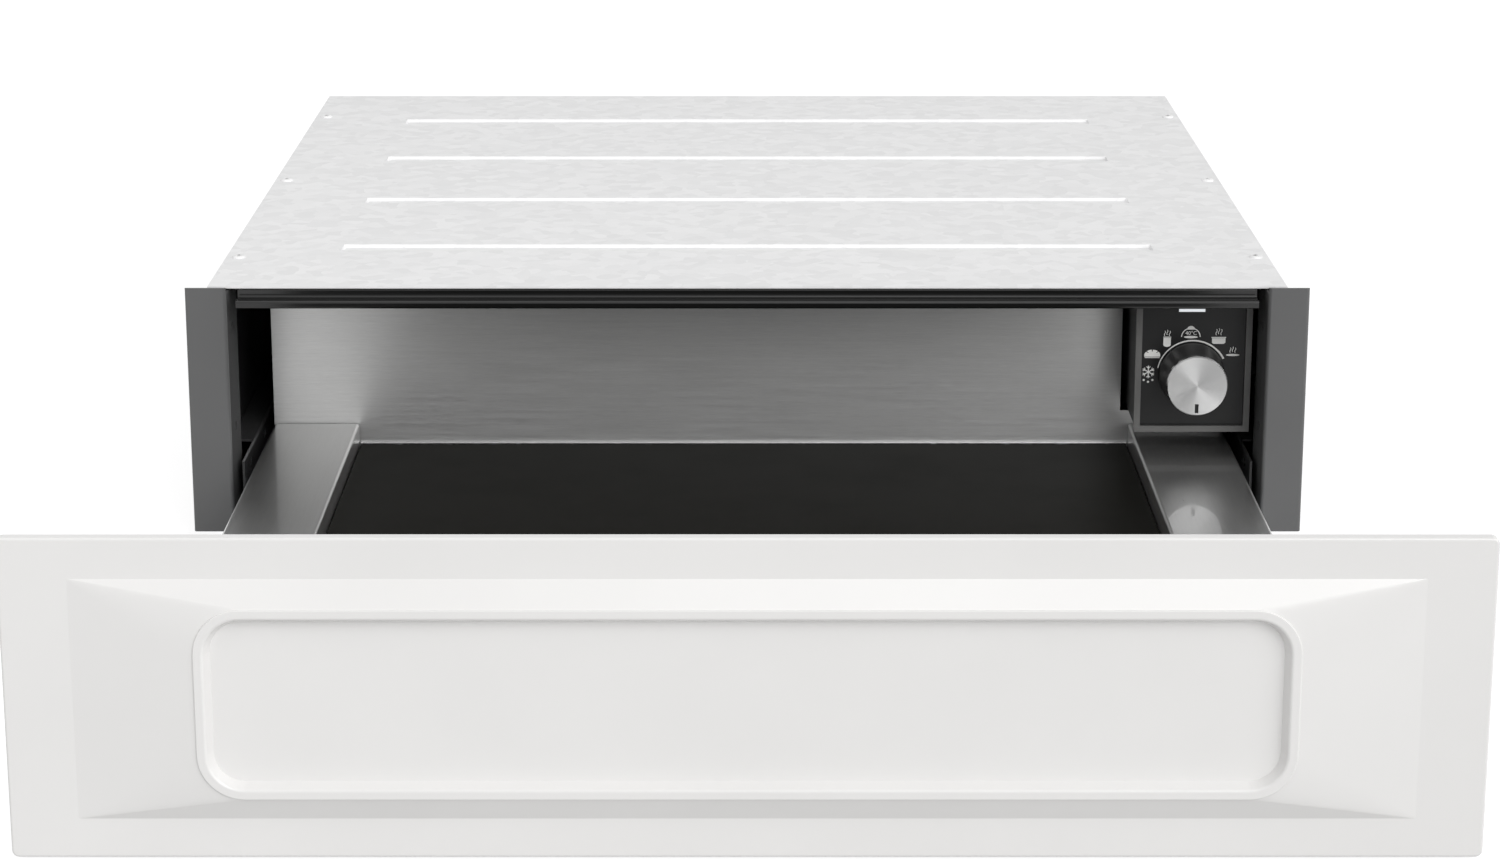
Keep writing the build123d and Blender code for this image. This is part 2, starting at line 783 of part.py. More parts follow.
# ------------------------------------------------------------------------------- drawer
with BuildPart() as drawer_pan:
    pan_length = pan_rear_y - carrier_back_y
    with BuildSketch(Plane.XY.offset(pan_bottom)):
        with Locations((0, carrier_back_y + pan_length / 2)):
            Rectangle(pan_width, pan_length)
    extrude(amount=pan_floor_top - pan_bottom)
    offset(amount=-pan_sheet, openings=drawer_pan.faces().sort_by(Axis.Z)[0])
    with BuildSketch(Plane.YZ.offset(-pan_half)):
        with Locations(*[(y, rail_screw_z) for y in drawer_screw_rows]):
            RegularPolygon(screw_shank + screw_clearance, small_sides)
    extrude(amount=pan_width, mode=Mode.SUBTRACT)
    with BuildSketch(across(carrier_back_y)):
        with Locations(*[(x, front_screw_z) for x in front_screw_row]):
            RegularPolygon(screw_shank + screw_clearance, small_sides)
    extrude(amount=-2 * pan_sheet, mode=Mode.SUBTRACT)
pieces["drawer_pan"] = drawer_pan


def ledge(inner):
    """A ledge over one runner: foot on the pan, inner wall, flat top and outer lip."""
    ledge_rear_y = wall_y - ledge_back_gap
    outline = [
        (inner + ledge_foot, pan_floor_top),
        (inner, pan_floor_top),
        (inner, ledge_top),
        (ledge_outer, ledge_top),
        (ledge_outer, ledge_lip_bottom),
    ]
    with BuildPart() as piece:
        extrude(
            folded_section(across(ledge_rear_y), outline, pan_sheet, bend, Side.RIGHT),
            amount=ledge_rear_y - carrier_back_y,
        )
    return piece


pieces["right_ledge"] = ledge(right_ledge_inner)
pieces["left_ledge"] = mirrored(ledge(left_ledge_inner))

glass_left = -(left_ledge_inner - glass_side_gap)
glass_right = right_ledge_inner - glass_side_gap
glass_mid_x = (glass_left + glass_right) / 2
glass_width = glass_right - glass_left
glass_rear_y = wall_y - trim_depth - trim_gap
with BuildPart() as glass_base:
    glass_length = glass_rear_y - carrier_back_y - glass_side_gap
    with BuildSketch(Plane.XY.offset(pan_floor_top)):
        with Locations((glass_mid_x, glass_rear_y - glass_length / 2)):
            Rectangle(glass_width, glass_length)
    extrude(amount=glass_thickness)
    chamfer(glass_base.faces().sort_by(Axis.Z)[-1].edges(), glass_side_gap)
pieces["glass_base"] = glass_base

with BuildPart() as glass_rear_trim:
    with BuildSketch(Plane.XY.offset(pan_floor_top)):
        with Locations((glass_mid_x, wall_y - trim_depth / 2)):
            Rectangle(glass_width, trim_depth)
    extrude(amount=trim_height)
    fillet(glass_rear_trim.faces().sort_by(Axis.Z)[-1].edges().filter_by(Axis.X), trim_depth / 3)
pieces["glass_rear_trim"] = glass_rear_trim

with BuildPart() as drawer_back_wall:
    with BuildSketch(across(wall_back_y)) as wall_face:
        with BuildLine():
            Polyline(
                (-ledge_outer, ledge_lip_bottom),
                (-pan_half, ledge_lip_bottom),
                (-pan_half, pan_floor_top),
                (pan_half, pan_floor_top),
                (pan_half, ledge_lip_bottom),
                (ledge_outer, ledge_lip_bottom),
                (ledge_outer, wall_notch_z),
                (wall_notch_x, wall_notch_z),
                (wall_notch_x, wall_top),
                (-ledge_outer, wall_top),
                close=True,
            )
        make_face()
        fillet(wall_face.vertices().filter_by_position(Axis.Z, wall_notch_z, wall_top), wall_corner)
    extrude(amount=wall_sheet)
    with BuildSketch(Plane.XY.offset(wall_top)):
        with Locations(((wall_notch_x - ledge_outer) / 2, wall_back_y + wall_top_return / 2)):
            Rectangle(wall_notch_x + ledge_outer - 2 * wall_corner, wall_top_return)
    extrude(amount=-wall_sheet)
    with BuildSketch(Plane.XY.offset(pan_floor_top)):
        with Locations((0, wall_back_y + (pan_behind_wall - case_sheet) / 2)):
            Rectangle(pan_width - 2 * pan_sheet, pan_behind_wall - case_sheet)
    extrude(amount=wall_sheet)
pieces["drawer_back_wall"] = drawer_back_wall


def embossed_form(inset, depth):
    """The pressed front as a solid: flat border, raised frame with its sunk field.

    With inset 0 it is the outside of the sheet. With the sheet's gauge as inset and depth it is
    the hollow behind it.
    """
    back_y = front_y + front_return
    start_y = front_y + depth
    crest_y = start_y - emboss_rise
    raised_width = front_width - 2 * border_side - 2 * inset
    raised_height = front_height - 2 * border_level - 2 * inset
    field_half_width = bead_outer_width / 2 - crest_width
    field_half_height = bead_outer_height / 2 - crest_width
    field_corner = bead_corner - crest_width
    field_taper = degrees(atan2(field_wall, field_depth))
    with BuildPart() as form:
        with BuildSketch(across(back_y)):
            with Locations((0, front_mid_z)):
                RectangleRounded(front_width - 2 * inset, front_height - 2 * inset, front_corner)
        extrude(amount=back_y - start_y)
        with BuildSketch(across(start_y)):
            with Locations((0, front_mid_z)):
                RectangleRounded(raised_width, raised_height, sharp_corner)
        with BuildSketch(across(crest_y)):
            with Locations((0, front_mid_z)):
                RectangleRounded(
                    bead_outer_width - 2 * inset, bead_outer_height - 2 * inset, bead_corner - inset
                )
        loft(ruled=True)
        with BuildSketch(across(crest_y)):
            with Locations((0, front_mid_z)):
                RectangleRounded(
                    bead_outer_width - 2 * inset, bead_outer_height - 2 * inset, bead_corner - inset
                )
        extrude(amount=crest_rise)
        with BuildSketch(across(crest_y - crest_rise)):
            with Locations((0, front_mid_z)):
                RectangleRounded(
                    2 * (field_half_width + inset), 2 * (field_half_height + inset), field_corner + inset
                )
        extrude(amount=-(crest_rise + field_depth), taper=field_taper, mode=Mode.SUBTRACT)
    return form


with BuildPart() as front_panel:
    add(embossed_form(0, 0).part)
    crest_face = front_panel.faces().sort_by(Axis.Y)[0]
    fillet(crest_face.outer_wire().edges(), crest_outer_round)
    crest_face = front_panel.faces().filter_by(GeomType.PLANE).sort_by(Axis.Y)[0]
    fillet(crest_face.inner_wires()[0].edges(), crest_inner_round)
    near = front_gauge / 10
    border_face = front_panel.faces().filter_by_position(Axis.Y, front_y - near, front_y + near)[0]
    fillet(border_face.outer_wire().edges(), edge_round)
    add(embossed_form(front_gauge, front_gauge).part, mode=Mode.SUBTRACT)
pieces["front_panel"] = front_panel

with BuildPart() as front_carrier:
    rim_y = front_y + front_gauge
    with BuildSketch(across(carrier_back_y)):
        with Locations((0, carrier_mid_z)):
            Rectangle(carrier_width, carrier_height)
    extrude(amount=carrier_back_y - rim_y)
    offset(amount=-carrier_sheet, openings=front_carrier.faces().sort_by(Axis.Y)[0])
    with BuildSketch(across(rim_y + carrier_sheet)):
        with Locations((0, carrier_mid_z)):
            Rectangle(carrier_width + 2 * carrier_rim, carrier_height + 2 * carrier_rim)
            Rectangle(carrier_width, carrier_height, mode=Mode.SUBTRACT)
    extrude(amount=carrier_sheet)
    with BuildSketch(across(carrier_back_y)):
        with Locations(*[(x, front_screw_z) for x in front_screw_row]):
            RegularPolygon(screw_shank + screw_clearance, small_sides)
    extrude(amount=2 * carrier_sheet, mode=Mode.SUBTRACT)
pieces["front_carrier"] = front_carrier

with BuildPart() as front_bumpers:
    bumper_height = closed_gap - bumper_squash
    bumper_rise = carrier_height - 2 * bumper_inset
    with BuildSketch(across(carrier_back_y)):
        with Locations((0, carrier_mid_z)):
            with GridLocations(2 * bumper_x, bumper_rise, 2, 2):
                Circle(bumper_radius)
    extrude(amount=-bumper_height)
pieces["front_bumpers"] = front_bumpers

# ------------------------------------------------------------------------------- control box
with BuildPart() as control_frame:
    with BuildSketch(across(fascia_y)):
        with Locations((frame_mid_x, frame_mid_z)):
            Rectangle(frame_width, frame_height)
            Rectangle(frame_width - 2 * frame_bar, frame_height - 2 * frame_bar, mode=Mode.SUBTRACT)
    extrude(amount=frame_thickness)
pieces["control_frame"] = control_frame

housing_width = frame_width - 2 * housing_rim
housing_height = frame_height - 2 * housing_rim
with BuildPart() as control_fascia:
    with BuildSketch(across(fascia_back_y)):
        with Locations((frame_mid_x, frame_mid_z)):
            Rectangle(housing_width, housing_height)
        with Locations((knob_x, knob_z)):
            Circle(fascia_hole / 2, mode=Mode.SUBTRACT)
        with Locations((lens_x, lens_z)):
            SlotOverall(lens_width + 2 * lens_gap, lens_height + 2 * lens_gap, mode=Mode.SUBTRACT)
    extrude(amount=fascia_thickness)
pieces["control_fascia"] = control_fascia

with BuildPart() as lamp_lens:
    with BuildSketch(across(fascia_back_y)):
        with Locations((lens_x, lens_z)):
            SlotOverall(lens_width, lens_height)
    extrude(amount=fascia_thickness + lens_stand)
    with BuildSketch(across(fascia_back_y + lens_depth)):
        with Locations((lens_x, lens_z)):
            Rectangle(lens_width + lens_height, lens_height)
    extrude(amount=lens_depth)
pieces["lamp_lens"] = lamp_lens

with BuildPart() as control_housing:
    with BuildSketch(across(housing_back_y)):
        with Locations((frame_mid_x, frame_mid_z)):
            Rectangle(housing_width, housing_height)
    extrude(amount=housing_depth)
    offset(amount=-housing_wall, openings=control_housing.faces().sort_by(Axis.Y)[0])
    housing_side_x = frame_mid_x + housing_width / 2
    for level in (frame_mid_z - ear_spacing / 2, frame_mid_z + ear_spacing / 2):
        with BuildSketch(Plane.XY.offset(level)):
            with Locations(((housing_side_x + inner_half) / 2, ear_y)):
                Rectangle(inner_half - housing_side_x, ear_width)
        extrude(amount=ear_height)
    with BuildSketch(across(housing_back_y)):
        with Locations((housing_side_x - housing_wall - wire_hole / 2, duct_z)):
            Rectangle(wire_hole, duct_height / 2)
    extrude(amount=housing_wall, mode=Mode.SUBTRACT)
pieces["control_housing"] = control_housing

with BuildPart() as rotary_switch:
    with BuildSketch(across(fascia_back_y + switch_depth)):
        with Locations((knob_x, knob_z)):
            RectangleRounded(switch_size, switch_size, switch_boss_radius)
    extrude(amount=switch_depth)
    with BuildSketch(across(fascia_back_y)):
        with Locations((knob_x, knob_z)):
            Circle(switch_boss_radius)
    extrude(amount=fascia_thickness)
    with BuildSketch(across(fascia_y - fascia_thickness)):
        with Locations((knob_x, knob_z)):
            Circle(shaft_radius + shaft_clearance)
    extrude(amount=-(2 * fascia_thickness + switch_depth * 0.8), mode=Mode.SUBTRACT)
    with BuildSketch(across(fascia_back_y + switch_depth + tag_length)):
        with Locations((knob_x, knob_z)):
            with GridLocations(0, tag_width * 1.5, 1, 4):
                Rectangle(tag_width, tag_gauge)
    extrude(amount=tag_length)
pieces["rotary_switch"] = rotary_switch

with BuildPart() as wiring_duct:
    duct_length = partition_y - housing_back_y
    with BuildSketch(across(partition_y)):
        with Locations((duct_x, duct_z)):
            Rectangle(duct_width, duct_height)
            Rectangle(duct_width - 2 * duct_wall, duct_height - 2 * duct_wall, mode=Mode.SUBTRACT)
    extrude(amount=duct_length)
pieces["wiring_duct"] = wiring_duct

# ------------------------------------------------------------------------------- knob
cap_back_y = knob_front_y + cap_thickness
skirt_back_y = fascia_y - skirt_gap
with BuildPart() as knob_cap:
    with BuildSketch(across(cap_back_y)):
        with Locations((knob_x, knob_z)):
            Circle(knob_radius)
        with Locations((knob_x, knob_z - index_from_axis)):
            Rectangle(index_width, index_length, mode=Mode.SUBTRACT)
    extrude(amount=cap_thickness)
    chamfer(knob_cap.faces().sort_by(Axis.Y)[0].outer_wire().edges(), cap_chamfer)
pieces["knob_cap"] = knob_cap

with BuildPart() as knob_index:
    with BuildSketch(across(cap_back_y)):
        with Locations((knob_x, knob_z - index_from_axis)):
            Rectangle(index_width - 2 * index_gap, index_length - 2 * index_gap)
    extrude(amount=cap_thickness - cap_chamfer)
pieces["knob_index"] = knob_index

with BuildPart() as knob_skirt:
    with BuildSketch(Plane((knob_x, 0, knob_z), x_dir=(1, 0, 0), z_dir=(0, 0, 1))):
        with BuildLine():
            Polyline(
                (shaft_radius + shaft_clearance, cap_back_y),
                (knob_radius - cap_chamfer, cap_back_y),
                (knob_radius - cap_chamfer, cap_back_y + cap_thickness),
                (skirt_base_radius, skirt_back_y - cap_thickness),
                (skirt_base_radius, skirt_back_y),
                (shaft_radius + shaft_clearance, skirt_back_y),
                close=True,
            )
        make_face()
    revolve(axis=knob_axis)
pieces["knob_skirt"] = knob_skirt

with BuildPart() as knob_shaft:
    with BuildSketch(across(cap_back_y)):
        with Locations((knob_x, knob_z)):
            Circle(shaft_radius)
    extrude(amount=-(fascia_back_y + switch_depth * 0.7 - cap_back_y))
pieces["knob_shaft"] = knob_shaft

# ------------------------------------------------------------------------------- rear compartment
scroll_left = rotor_left - scroll_end_gap
scroll_right = rotor_right + scroll_end_gap
scroll_radius = rotor_radius + scroll_gap
tongue_y = rotor_y - rotor_radius + blade_inset
scroll_back_y = rotor_y + scroll_radius
outlet_top = cover_bottom - case_sheet - outlet_below_cover / 2
outlet_bottom = cover_bottom - outlet_below_cover - outlet_height - case_sheet
scroll_foot = rotor_z - scroll_radius - 3 * scroll_sheet
with BuildPart() as blower_housing:
    with BuildSketch(Plane.YZ.offset(scroll_left)):
        with BuildLine():
            CenterArc((rotor_y, rotor_z), scroll_radius, -135, 135)
            Line((scroll_back_y, rotor_z), (scroll_back_y, outlet_top - scroll_throat))
            CenterArc((scroll_back_y - scroll_throat, outlet_top - scroll_throat), scroll_throat, 0, 90)
            Line((scroll_back_y - scroll_throat, outlet_top), (partition_back_y, outlet_top))
            offset(amount=scroll_sheet, side=Side.RIGHT)
        make_face()
    extrude(amount=scroll_right - scroll_left)
    with BuildSketch(Plane.YZ.offset(scroll_left)):
        with BuildLine():
            FilletPolyline(
                (partition_back_y, outlet_bottom),
                (tongue_y, outlet_bottom),
                (tongue_y, rotor_z + rotor_radius),
                radius=bend,
            )
            offset(amount=scroll_sheet, side=Side.RIGHT)
        make_face()
    extrude(amount=scroll_right - scroll_left)
    for plate_x in (scroll_left - scroll_sheet, scroll_right):
        with BuildSketch(Plane.YZ.offset(plate_x)):
            with BuildLine():
                Polyline(
                    (partition_back_y, scroll_foot),
                    (back_inner_y, scroll_foot),
                    (back_inner_y, outlet_top + scroll_sheet),
                    (partition_back_y, outlet_top + scroll_sheet),
                    close=True,
                )
            make_face()
            with Locations((rotor_y, rotor_z)):
                Circle(rotor_shaft_radius + shaft_clearance, mode=Mode.SUBTRACT)
            if plate_x > 0:
                with Locations((heater_y, heater_low), (heater_y, heater_high)):
                    Circle(heater_radius + shaft_clearance, mode=Mode.SUBTRACT)
        extrude(amount=scroll_sheet)
pieces["blower_housing"] = blower_housing

with BuildPart() as blower_rotor:
    with BuildSketch(Plane.YZ.offset(rotor_left)):
        with Locations((rotor_y, rotor_z)):
            with PolarLocations(rotor_radius - blade_inset, rotor_blades):
                Rectangle(blade_chord, blade_gauge, rotation=blade_angle)
    extrude(amount=rotor_right - rotor_left)
    for disc_x in (rotor_left, (rotor_left + rotor_right - rotor_disc) / 2, rotor_right - rotor_disc):
        with BuildSketch(Plane.YZ.offset(disc_x)):
            with Locations((rotor_y, rotor_z)):
                Circle(rotor_radius)
        extrude(amount=rotor_disc)
    with BuildSketch(Plane.YZ.offset(rotor_left - shaft_left_reach)):
        with Locations((rotor_y, rotor_z)):
            Circle(rotor_shaft_radius)
    shaft_right_reach = scroll_end_gap + motor_end_gap + shaft_in_motor
    extrude(amount=shaft_left_reach + rotor_right - rotor_left + shaft_right_reach)
pieces["blower_rotor"] = blower_rotor

motor_x = scroll_right + scroll_sheet + motor_end_gap
with BuildPart() as blower_motor:
    with BuildSketch(Plane.YZ.offset(motor_x)):
        with Locations((rotor_y, rotor_z)):
            Rectangle(motor_width, motor_width)
        with Locations((rotor_y, rotor_z - motor_width / 2 - coil_drop / 2)):
            Rectangle(motor_width * 0.7, coil_drop)
    extrude(amount=motor_stack)
    with BuildSketch(Plane.YZ.offset(motor_x - motor_end_gap)):
        with Locations((rotor_y, rotor_z)):
            Circle(coil_radius)
    extrude(amount=motor_stack + 2 * motor_end_gap)
    with BuildSketch(Plane.YZ.offset(motor_x + (motor_stack - coil_length) / 2)):
        with Locations((rotor_y, rotor_z - motor_width / 2 - coil_drop / 2)):
            RectangleRounded(motor_width * 0.6, coil_drop * 0.7, bend)
    extrude(amount=coil_length)
    with BuildSketch(Plane.YZ.offset(motor_x - motor_end_gap)):
        with Locations((rotor_y, rotor_z)):
            Circle(rotor_shaft_radius + shaft_clearance)
    extrude(amount=motor_stack + 2 * motor_end_gap, mode=Mode.SUBTRACT)
pieces["blower_motor"] = blower_motor

with BuildPart() as heater_element:
    heater_end = scroll_right + scroll_sheet + heater_lead
    with BuildLine():
        turn = (heater_high - heater_low) / 2
        Line((heater_end, heater_y, heater_low), (heater_left, heater_y, heater_low))
        ThreePointArc(
            (heater_left, heater_y, heater_low),
            (heater_left - turn, heater_y, (heater_low + heater_high) / 2),
            (heater_left, heater_y, heater_high),
        )
        Line((heater_left, heater_y, heater_high), (heater_end, heater_y, heater_high))
    with BuildSketch(Plane((heater_end, heater_y, heater_low), z_dir=(-1, 0, 0))):
        Circle(heater_radius)
    sweep()
pieces["heater_element"] = heater_element

with BuildPart() as safety_cutout:
    with BuildSketch(Plane.YZ.offset(scroll_left - scroll_sheet)):
        with Locations((rotor_y, (heater_low + heater_high) / 2)):
            Circle(cutout_radius)
    extrude(amount=-cutout_height)
    with BuildSketch(Plane.YZ.offset(scroll_left - scroll_sheet - cutout_height)):
        with Locations((rotor_y, (heater_low + heater_high) / 2)):
            with GridLocations(cutout_radius, 0, 2, 1):
                Rectangle(tag_gauge, tag_width)
    extrude(amount=-tag_length)
pieces["safety_cutout"] = safety_cutout

with BuildPart() as air_sensor:
    with BuildSketch(across(partition_back_y)):
        with Locations((sensor_x, sensor_z)):
            Circle(sensor_head)
    extrude(amount=-sensor_head)
    with BuildSketch(across(partition_back_y)):
        with Locations((sensor_x, sensor_z)):
            Circle(sensor_radius)
    extrude(amount=case_sheet + partition_gap / 2)
    with BuildSketch(across(partition_back_y + sensor_head)):
        with Locations((sensor_x, sensor_z)):
            Circle(sensor_radius)
    extrude(amount=-(sensor_length - sensor_head))
pieces["air_sensor"] = air_sensor

with BuildPart() as terminal_block:
    with BuildSketch(Plane.XY.offset(case_sheet)):
        with Locations((terminal_x, terminal_y)):
            Rectangle(terminal_width, terminal_length)
    extrude(amount=terminal_height)
    with BuildSketch(Plane.XY.offset(case_sheet + terminal_height)):
        with Locations((terminal_x, terminal_y)):
            with GridLocations(terminal_spacing, terminal_length / 2, terminal_poles, 2):
                RegularPolygon(terminal_screw_radius, small_sides)
    extrude(amount=-terminal_screw_depth, mode=Mode.SUBTRACT)
pieces["terminal_block"] = terminal_block

with BuildPart() as cable_gland:
    gland_end_y = case_depth - case_sheet - gland_inside
    with BuildSketch(across(case_depth)):
        with Locations((gland_x, gland_z)):
            Circle(gland_radius)
    extrude(amount=case_sheet + gland_inside)
    with BuildSketch(across(back_inner_y)):
        with Locations((gland_x, gland_z)):
            RegularPolygon(gland_flange, 6)
    extrude(amount=gland_inside / 2)
    with BuildSketch(across(gland_end_y - gland_inside)):
        with Locations((gland_x, gland_z)):
            Circle(gland_bore)
    extrude(amount=-(3 * gland_inside + case_sheet), mode=Mode.SUBTRACT)
pieces["cable_gland"] = cable_gland

# ------------------------------------------------------------------------------- touch latch
plunger_tip_y = wall_closed_y + wall_sheet + plunger_tip_gap
with BuildPart() as latch_body:
    with BuildSketch(across(partition_back_y)):
        with Locations((latch_x, latch_z)):
            RectangleRounded(latch_width, latch_height, bend)
    extrude(amount=-latch_depth)
    with BuildSketch(across(partition_back_y)):
        with Locations((latch_x, latch_z)):
            Rectangle(latch_width + latch_height, latch_height * 0.6)
    extrude(amount=-bend)
    with BuildSketch(across(partition_back_y)):
        with Locations((latch_x, latch_z)):
            Circle(plunger_radius + plunger_clearance)
    extrude(amount=-(plunger_length + plunger_throw), mode=Mode.SUBTRACT)
pieces["latch_body"] = latch_body

with BuildPart() as latch_plunger:
    with BuildSketch(across(plunger_tip_y)):
        with Locations((latch_x, latch_z)):
            Circle(plunger_radius)
    extrude(amount=-plunger_length)
    chamfer(latch_plunger.edges().sort_by(Axis.Y)[0], plunger_radius / 5)
pieces["latch_plunger"] = latch_plunger

# ------------------------------------------------------------------------------- screws
pieces["cover_screws"] = screw_group(cover_screws_at, 2 * case_sheet)
pieces["flange_screws"] = screw_group(flange_screws_at, flange_gauge + case_sheet)
pieces["runner_screws"] = screw_group(fixed_screws_at, rail_gauge + bracket_gauge)
pieces["drawer_rail_screws"] = screw_group(drawer_rail_screws_at, pan_sheet + rail_gauge)
pieces["front_screws"] = screw_group(front_screws_at, pan_sheet + carrier_sheet)

for name, piece in pieces.items():
    with BuildPart() as placed:
        with Locations((0, -case_depth / 2, 0)):
            add(piece.part)
    placed.part.label = name
    export_step(placed.part, f"parts/{name}.step")
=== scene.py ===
from math import atan2, cos, degrees, pi, radians, sin, tau

import bmesh
import bpy
from bpy.props import FloatProperty, FloatVectorProperty, IntProperty, PointerProperty
from mathutils import Matrix, Vector


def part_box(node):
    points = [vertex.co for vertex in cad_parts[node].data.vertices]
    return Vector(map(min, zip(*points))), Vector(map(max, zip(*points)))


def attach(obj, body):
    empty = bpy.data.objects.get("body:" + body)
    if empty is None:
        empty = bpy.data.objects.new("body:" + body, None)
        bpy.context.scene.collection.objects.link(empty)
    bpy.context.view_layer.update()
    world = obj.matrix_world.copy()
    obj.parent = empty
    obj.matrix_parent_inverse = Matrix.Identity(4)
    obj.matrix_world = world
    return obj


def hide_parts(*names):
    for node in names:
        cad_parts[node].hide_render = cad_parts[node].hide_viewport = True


bl_info = {
    "name": "Warming Drawer",
    "version": (1, 0, 0),
    "blender": (4, 5, 0),
    "location": "View3D > Sidebar > Warming Drawer",
    "description": "Finishes, prints and small parts of a built-in warming drawer, and its stage",
    "category": "Object",
}

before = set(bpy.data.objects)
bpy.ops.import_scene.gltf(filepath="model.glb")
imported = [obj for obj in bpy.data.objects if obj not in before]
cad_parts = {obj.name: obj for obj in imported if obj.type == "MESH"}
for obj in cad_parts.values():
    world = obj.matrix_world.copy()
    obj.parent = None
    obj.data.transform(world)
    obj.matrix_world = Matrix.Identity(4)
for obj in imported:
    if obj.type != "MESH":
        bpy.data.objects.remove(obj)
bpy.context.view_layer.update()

MM = 0.001
FASCIA_LOW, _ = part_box("control_fascia")
FLANGE_LOW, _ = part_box("left_front_flange")
CAP_LOW, CAP_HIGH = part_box("knob_cap")
KNOB_X = (CAP_LOW.x + CAP_HIGH.x) / 2
KNOB_Z = (CAP_LOW.z + CAP_HIGH.z) / 2

BLACK, WHITE = (0, 0, 0, 1), (1, 1, 1, 1)
GRAIN = (0.03 * MM, 0.5)  # depth and strength of the grain of paint and plastic

# Directions of brushing: how the lines are stretched, and the axis for the highlights.
ACROSS = ((0.03, 1, 1), "Z")
ALONG = ((1, 0.03, 1), "X")

MERGE = 1e-7  # corners of a new piece that are nearer than this, in metres, become one
MERGE_CAD = 1e-6  # the same for the mesh of a CAD node
SHARP = radians(35)  # edges that bend more than this stay sharp

# The warm and the cold end of the printed scale, in degrees round the knob from its right.
SCALE_ENDS = (27.5, 168.6)

FLOOR_REACH = 12.0  # from the middle of the floor to its edges
FLOOR_DROP = 0.5 * MM  # how far the floor lies below the part
KEY_WAY = (1.15, -1.25, 0.72)  # from the part towards the key light
KEY_SPREAD = radians(60)


# ---------------------------------------------------------------------------------- settings
class WarmerStageSettings(bpy.types.PropertyGroup):
    """Where the camera and the lamps stand."""

    camera_back: FloatProperty(
        name="Camera distance",
        description="From the middle of the casing to the camera, along the floor",
        default=1.9933, unit="LENGTH",
    )
    camera_height: FloatProperty(
        name="Camera height", description="Height of the camera above the floor",
        default=0.5549, unit="LENGTH",
    )
    camera_pitch: FloatProperty(
        name="Camera pitch", description="How far the camera looks down",
        default=radians(14.73), subtype="ANGLE",
    )
    lens: FloatProperty(
        name="Focal length", description="Focal length in mm, on a 36 mm wide sensor",
        default=82.64, unit="CAMERA",
    )
    shift_x: FloatProperty(
        name="Shift across", description="Sideways shift of the picture", default=0.0018,
    )
    shift_y: FloatProperty(
        name="Shift up", description="Upward shift of the picture", default=-0.0533,
    )
    world_light: FloatProperty(
        name="Surrounding light", description="Strength of the light from all round",
        default=0.54, min=0,
    )
    key_light: FloatProperty(
        name="Key light", description="Strength of the broad light from the front right",
        default=1.65, min=0,
    )
    front_light: FloatProperty(
        name="Front lamp", description="Power of the lamp behind, above and right of the camera",
        default=7.0, min=0, unit="POWER",
    )
    left_light: FloatProperty(
        name="Left lamp", description="Power of the lamp at the upper left",
        default=1.5, min=0, unit="POWER",
    )
    floor_white: FloatProperty(
        name="Floor white", description="How white the floor looks to the camera by itself",
        default=0.78, min=0, max=1,
    )


class WarmerFinishSettings(bpy.types.PropertyGroup):
    """Colours of the finishes."""

    enamel: FloatVectorProperty(
        name="Enamel", description="Colour of the enamelled front",
        subtype="COLOR", size=4, min=0, max=1, default=(0.815, 0.807, 0.797, 1),
    )
    casing_paint: FloatVectorProperty(
        name="Flange paint", description="Colour of the flanges",
        subtype="COLOR", size=4, min=0, max=1, default=(0.115, 0.116, 0.117, 1),
    )
    rail_paint: FloatVectorProperty(
        name="Rail paint", description="Colour of the rail over the drawer",
        subtype="COLOR", size=4, min=0, max=1, default=(0.009, 0.009, 0.0088, 1),
    )
    inner_paint: FloatVectorProperty(
        name="Inner paint", description="Colour of the side panels and runner brackets",
        subtype="COLOR", size=4, min=0, max=1, default=(0.045, 0.045, 0.046, 1),
    )
    steel: FloatVectorProperty(
        name="Stainless steel", description="Colour of the brushed steel",
        subtype="COLOR", size=4, min=0, max=1, default=(0.52, 0.52, 0.515, 1),
    )
    print_ink: FloatVectorProperty(
        name="Dial ink", description="Colour of the dial's printed scale",
        subtype="COLOR", size=4, min=0, max=1, default=(0.93, 0.93, 0.91, 1),
    )


class WarmerDialSettings(bpy.types.PropertyGroup):
    """Sizes of the printed scale round the knob."""

    ink_height: FloatProperty(
        name="Ink height", description="Thickness of the print, a third of it in the fascia",
        default=0.00006, unit="LENGTH",
    )
    scale_radius: FloatProperty(
        name="Scale radius", description="Radius of the printed arc",
        default=0.0183, unit="LENGTH",
    )
    scale_line: FloatProperty(
        name="Scale line", description="Width of the printed arc",
        default=0.0005, unit="LENGTH",
    )
    scale_swell: FloatProperty(
        name="Scale swell", description="How much wider the arc gets towards its warm end",
        default=0.0005, unit="LENGTH",
    )
    thin_line: FloatProperty(
        name="Thin line", description="Width of the lines in the pictures",
        default=0.00045, unit="LENGTH",
    )
    arc_steps: IntProperty(
        name="Arc steps", description="Segments in the printed arc", default=48, min=8,
    )


# ---------------------------------------------------------------------------------- node groups
def fill(node, **values):
    """Sets attributes and inputs of a node; underscores stand for the blanks of an input."""
    for key, value in values.items():
        if hasattr(node, key):
            setattr(node, key, value)
        else:
            node.inputs[key.replace("_", " ")].default_value = value
    return node


def add_node(tree, kind, **values):
    """A new node with its attributes and inputs set."""
    return fill(tree.nodes.new(kind), **values)


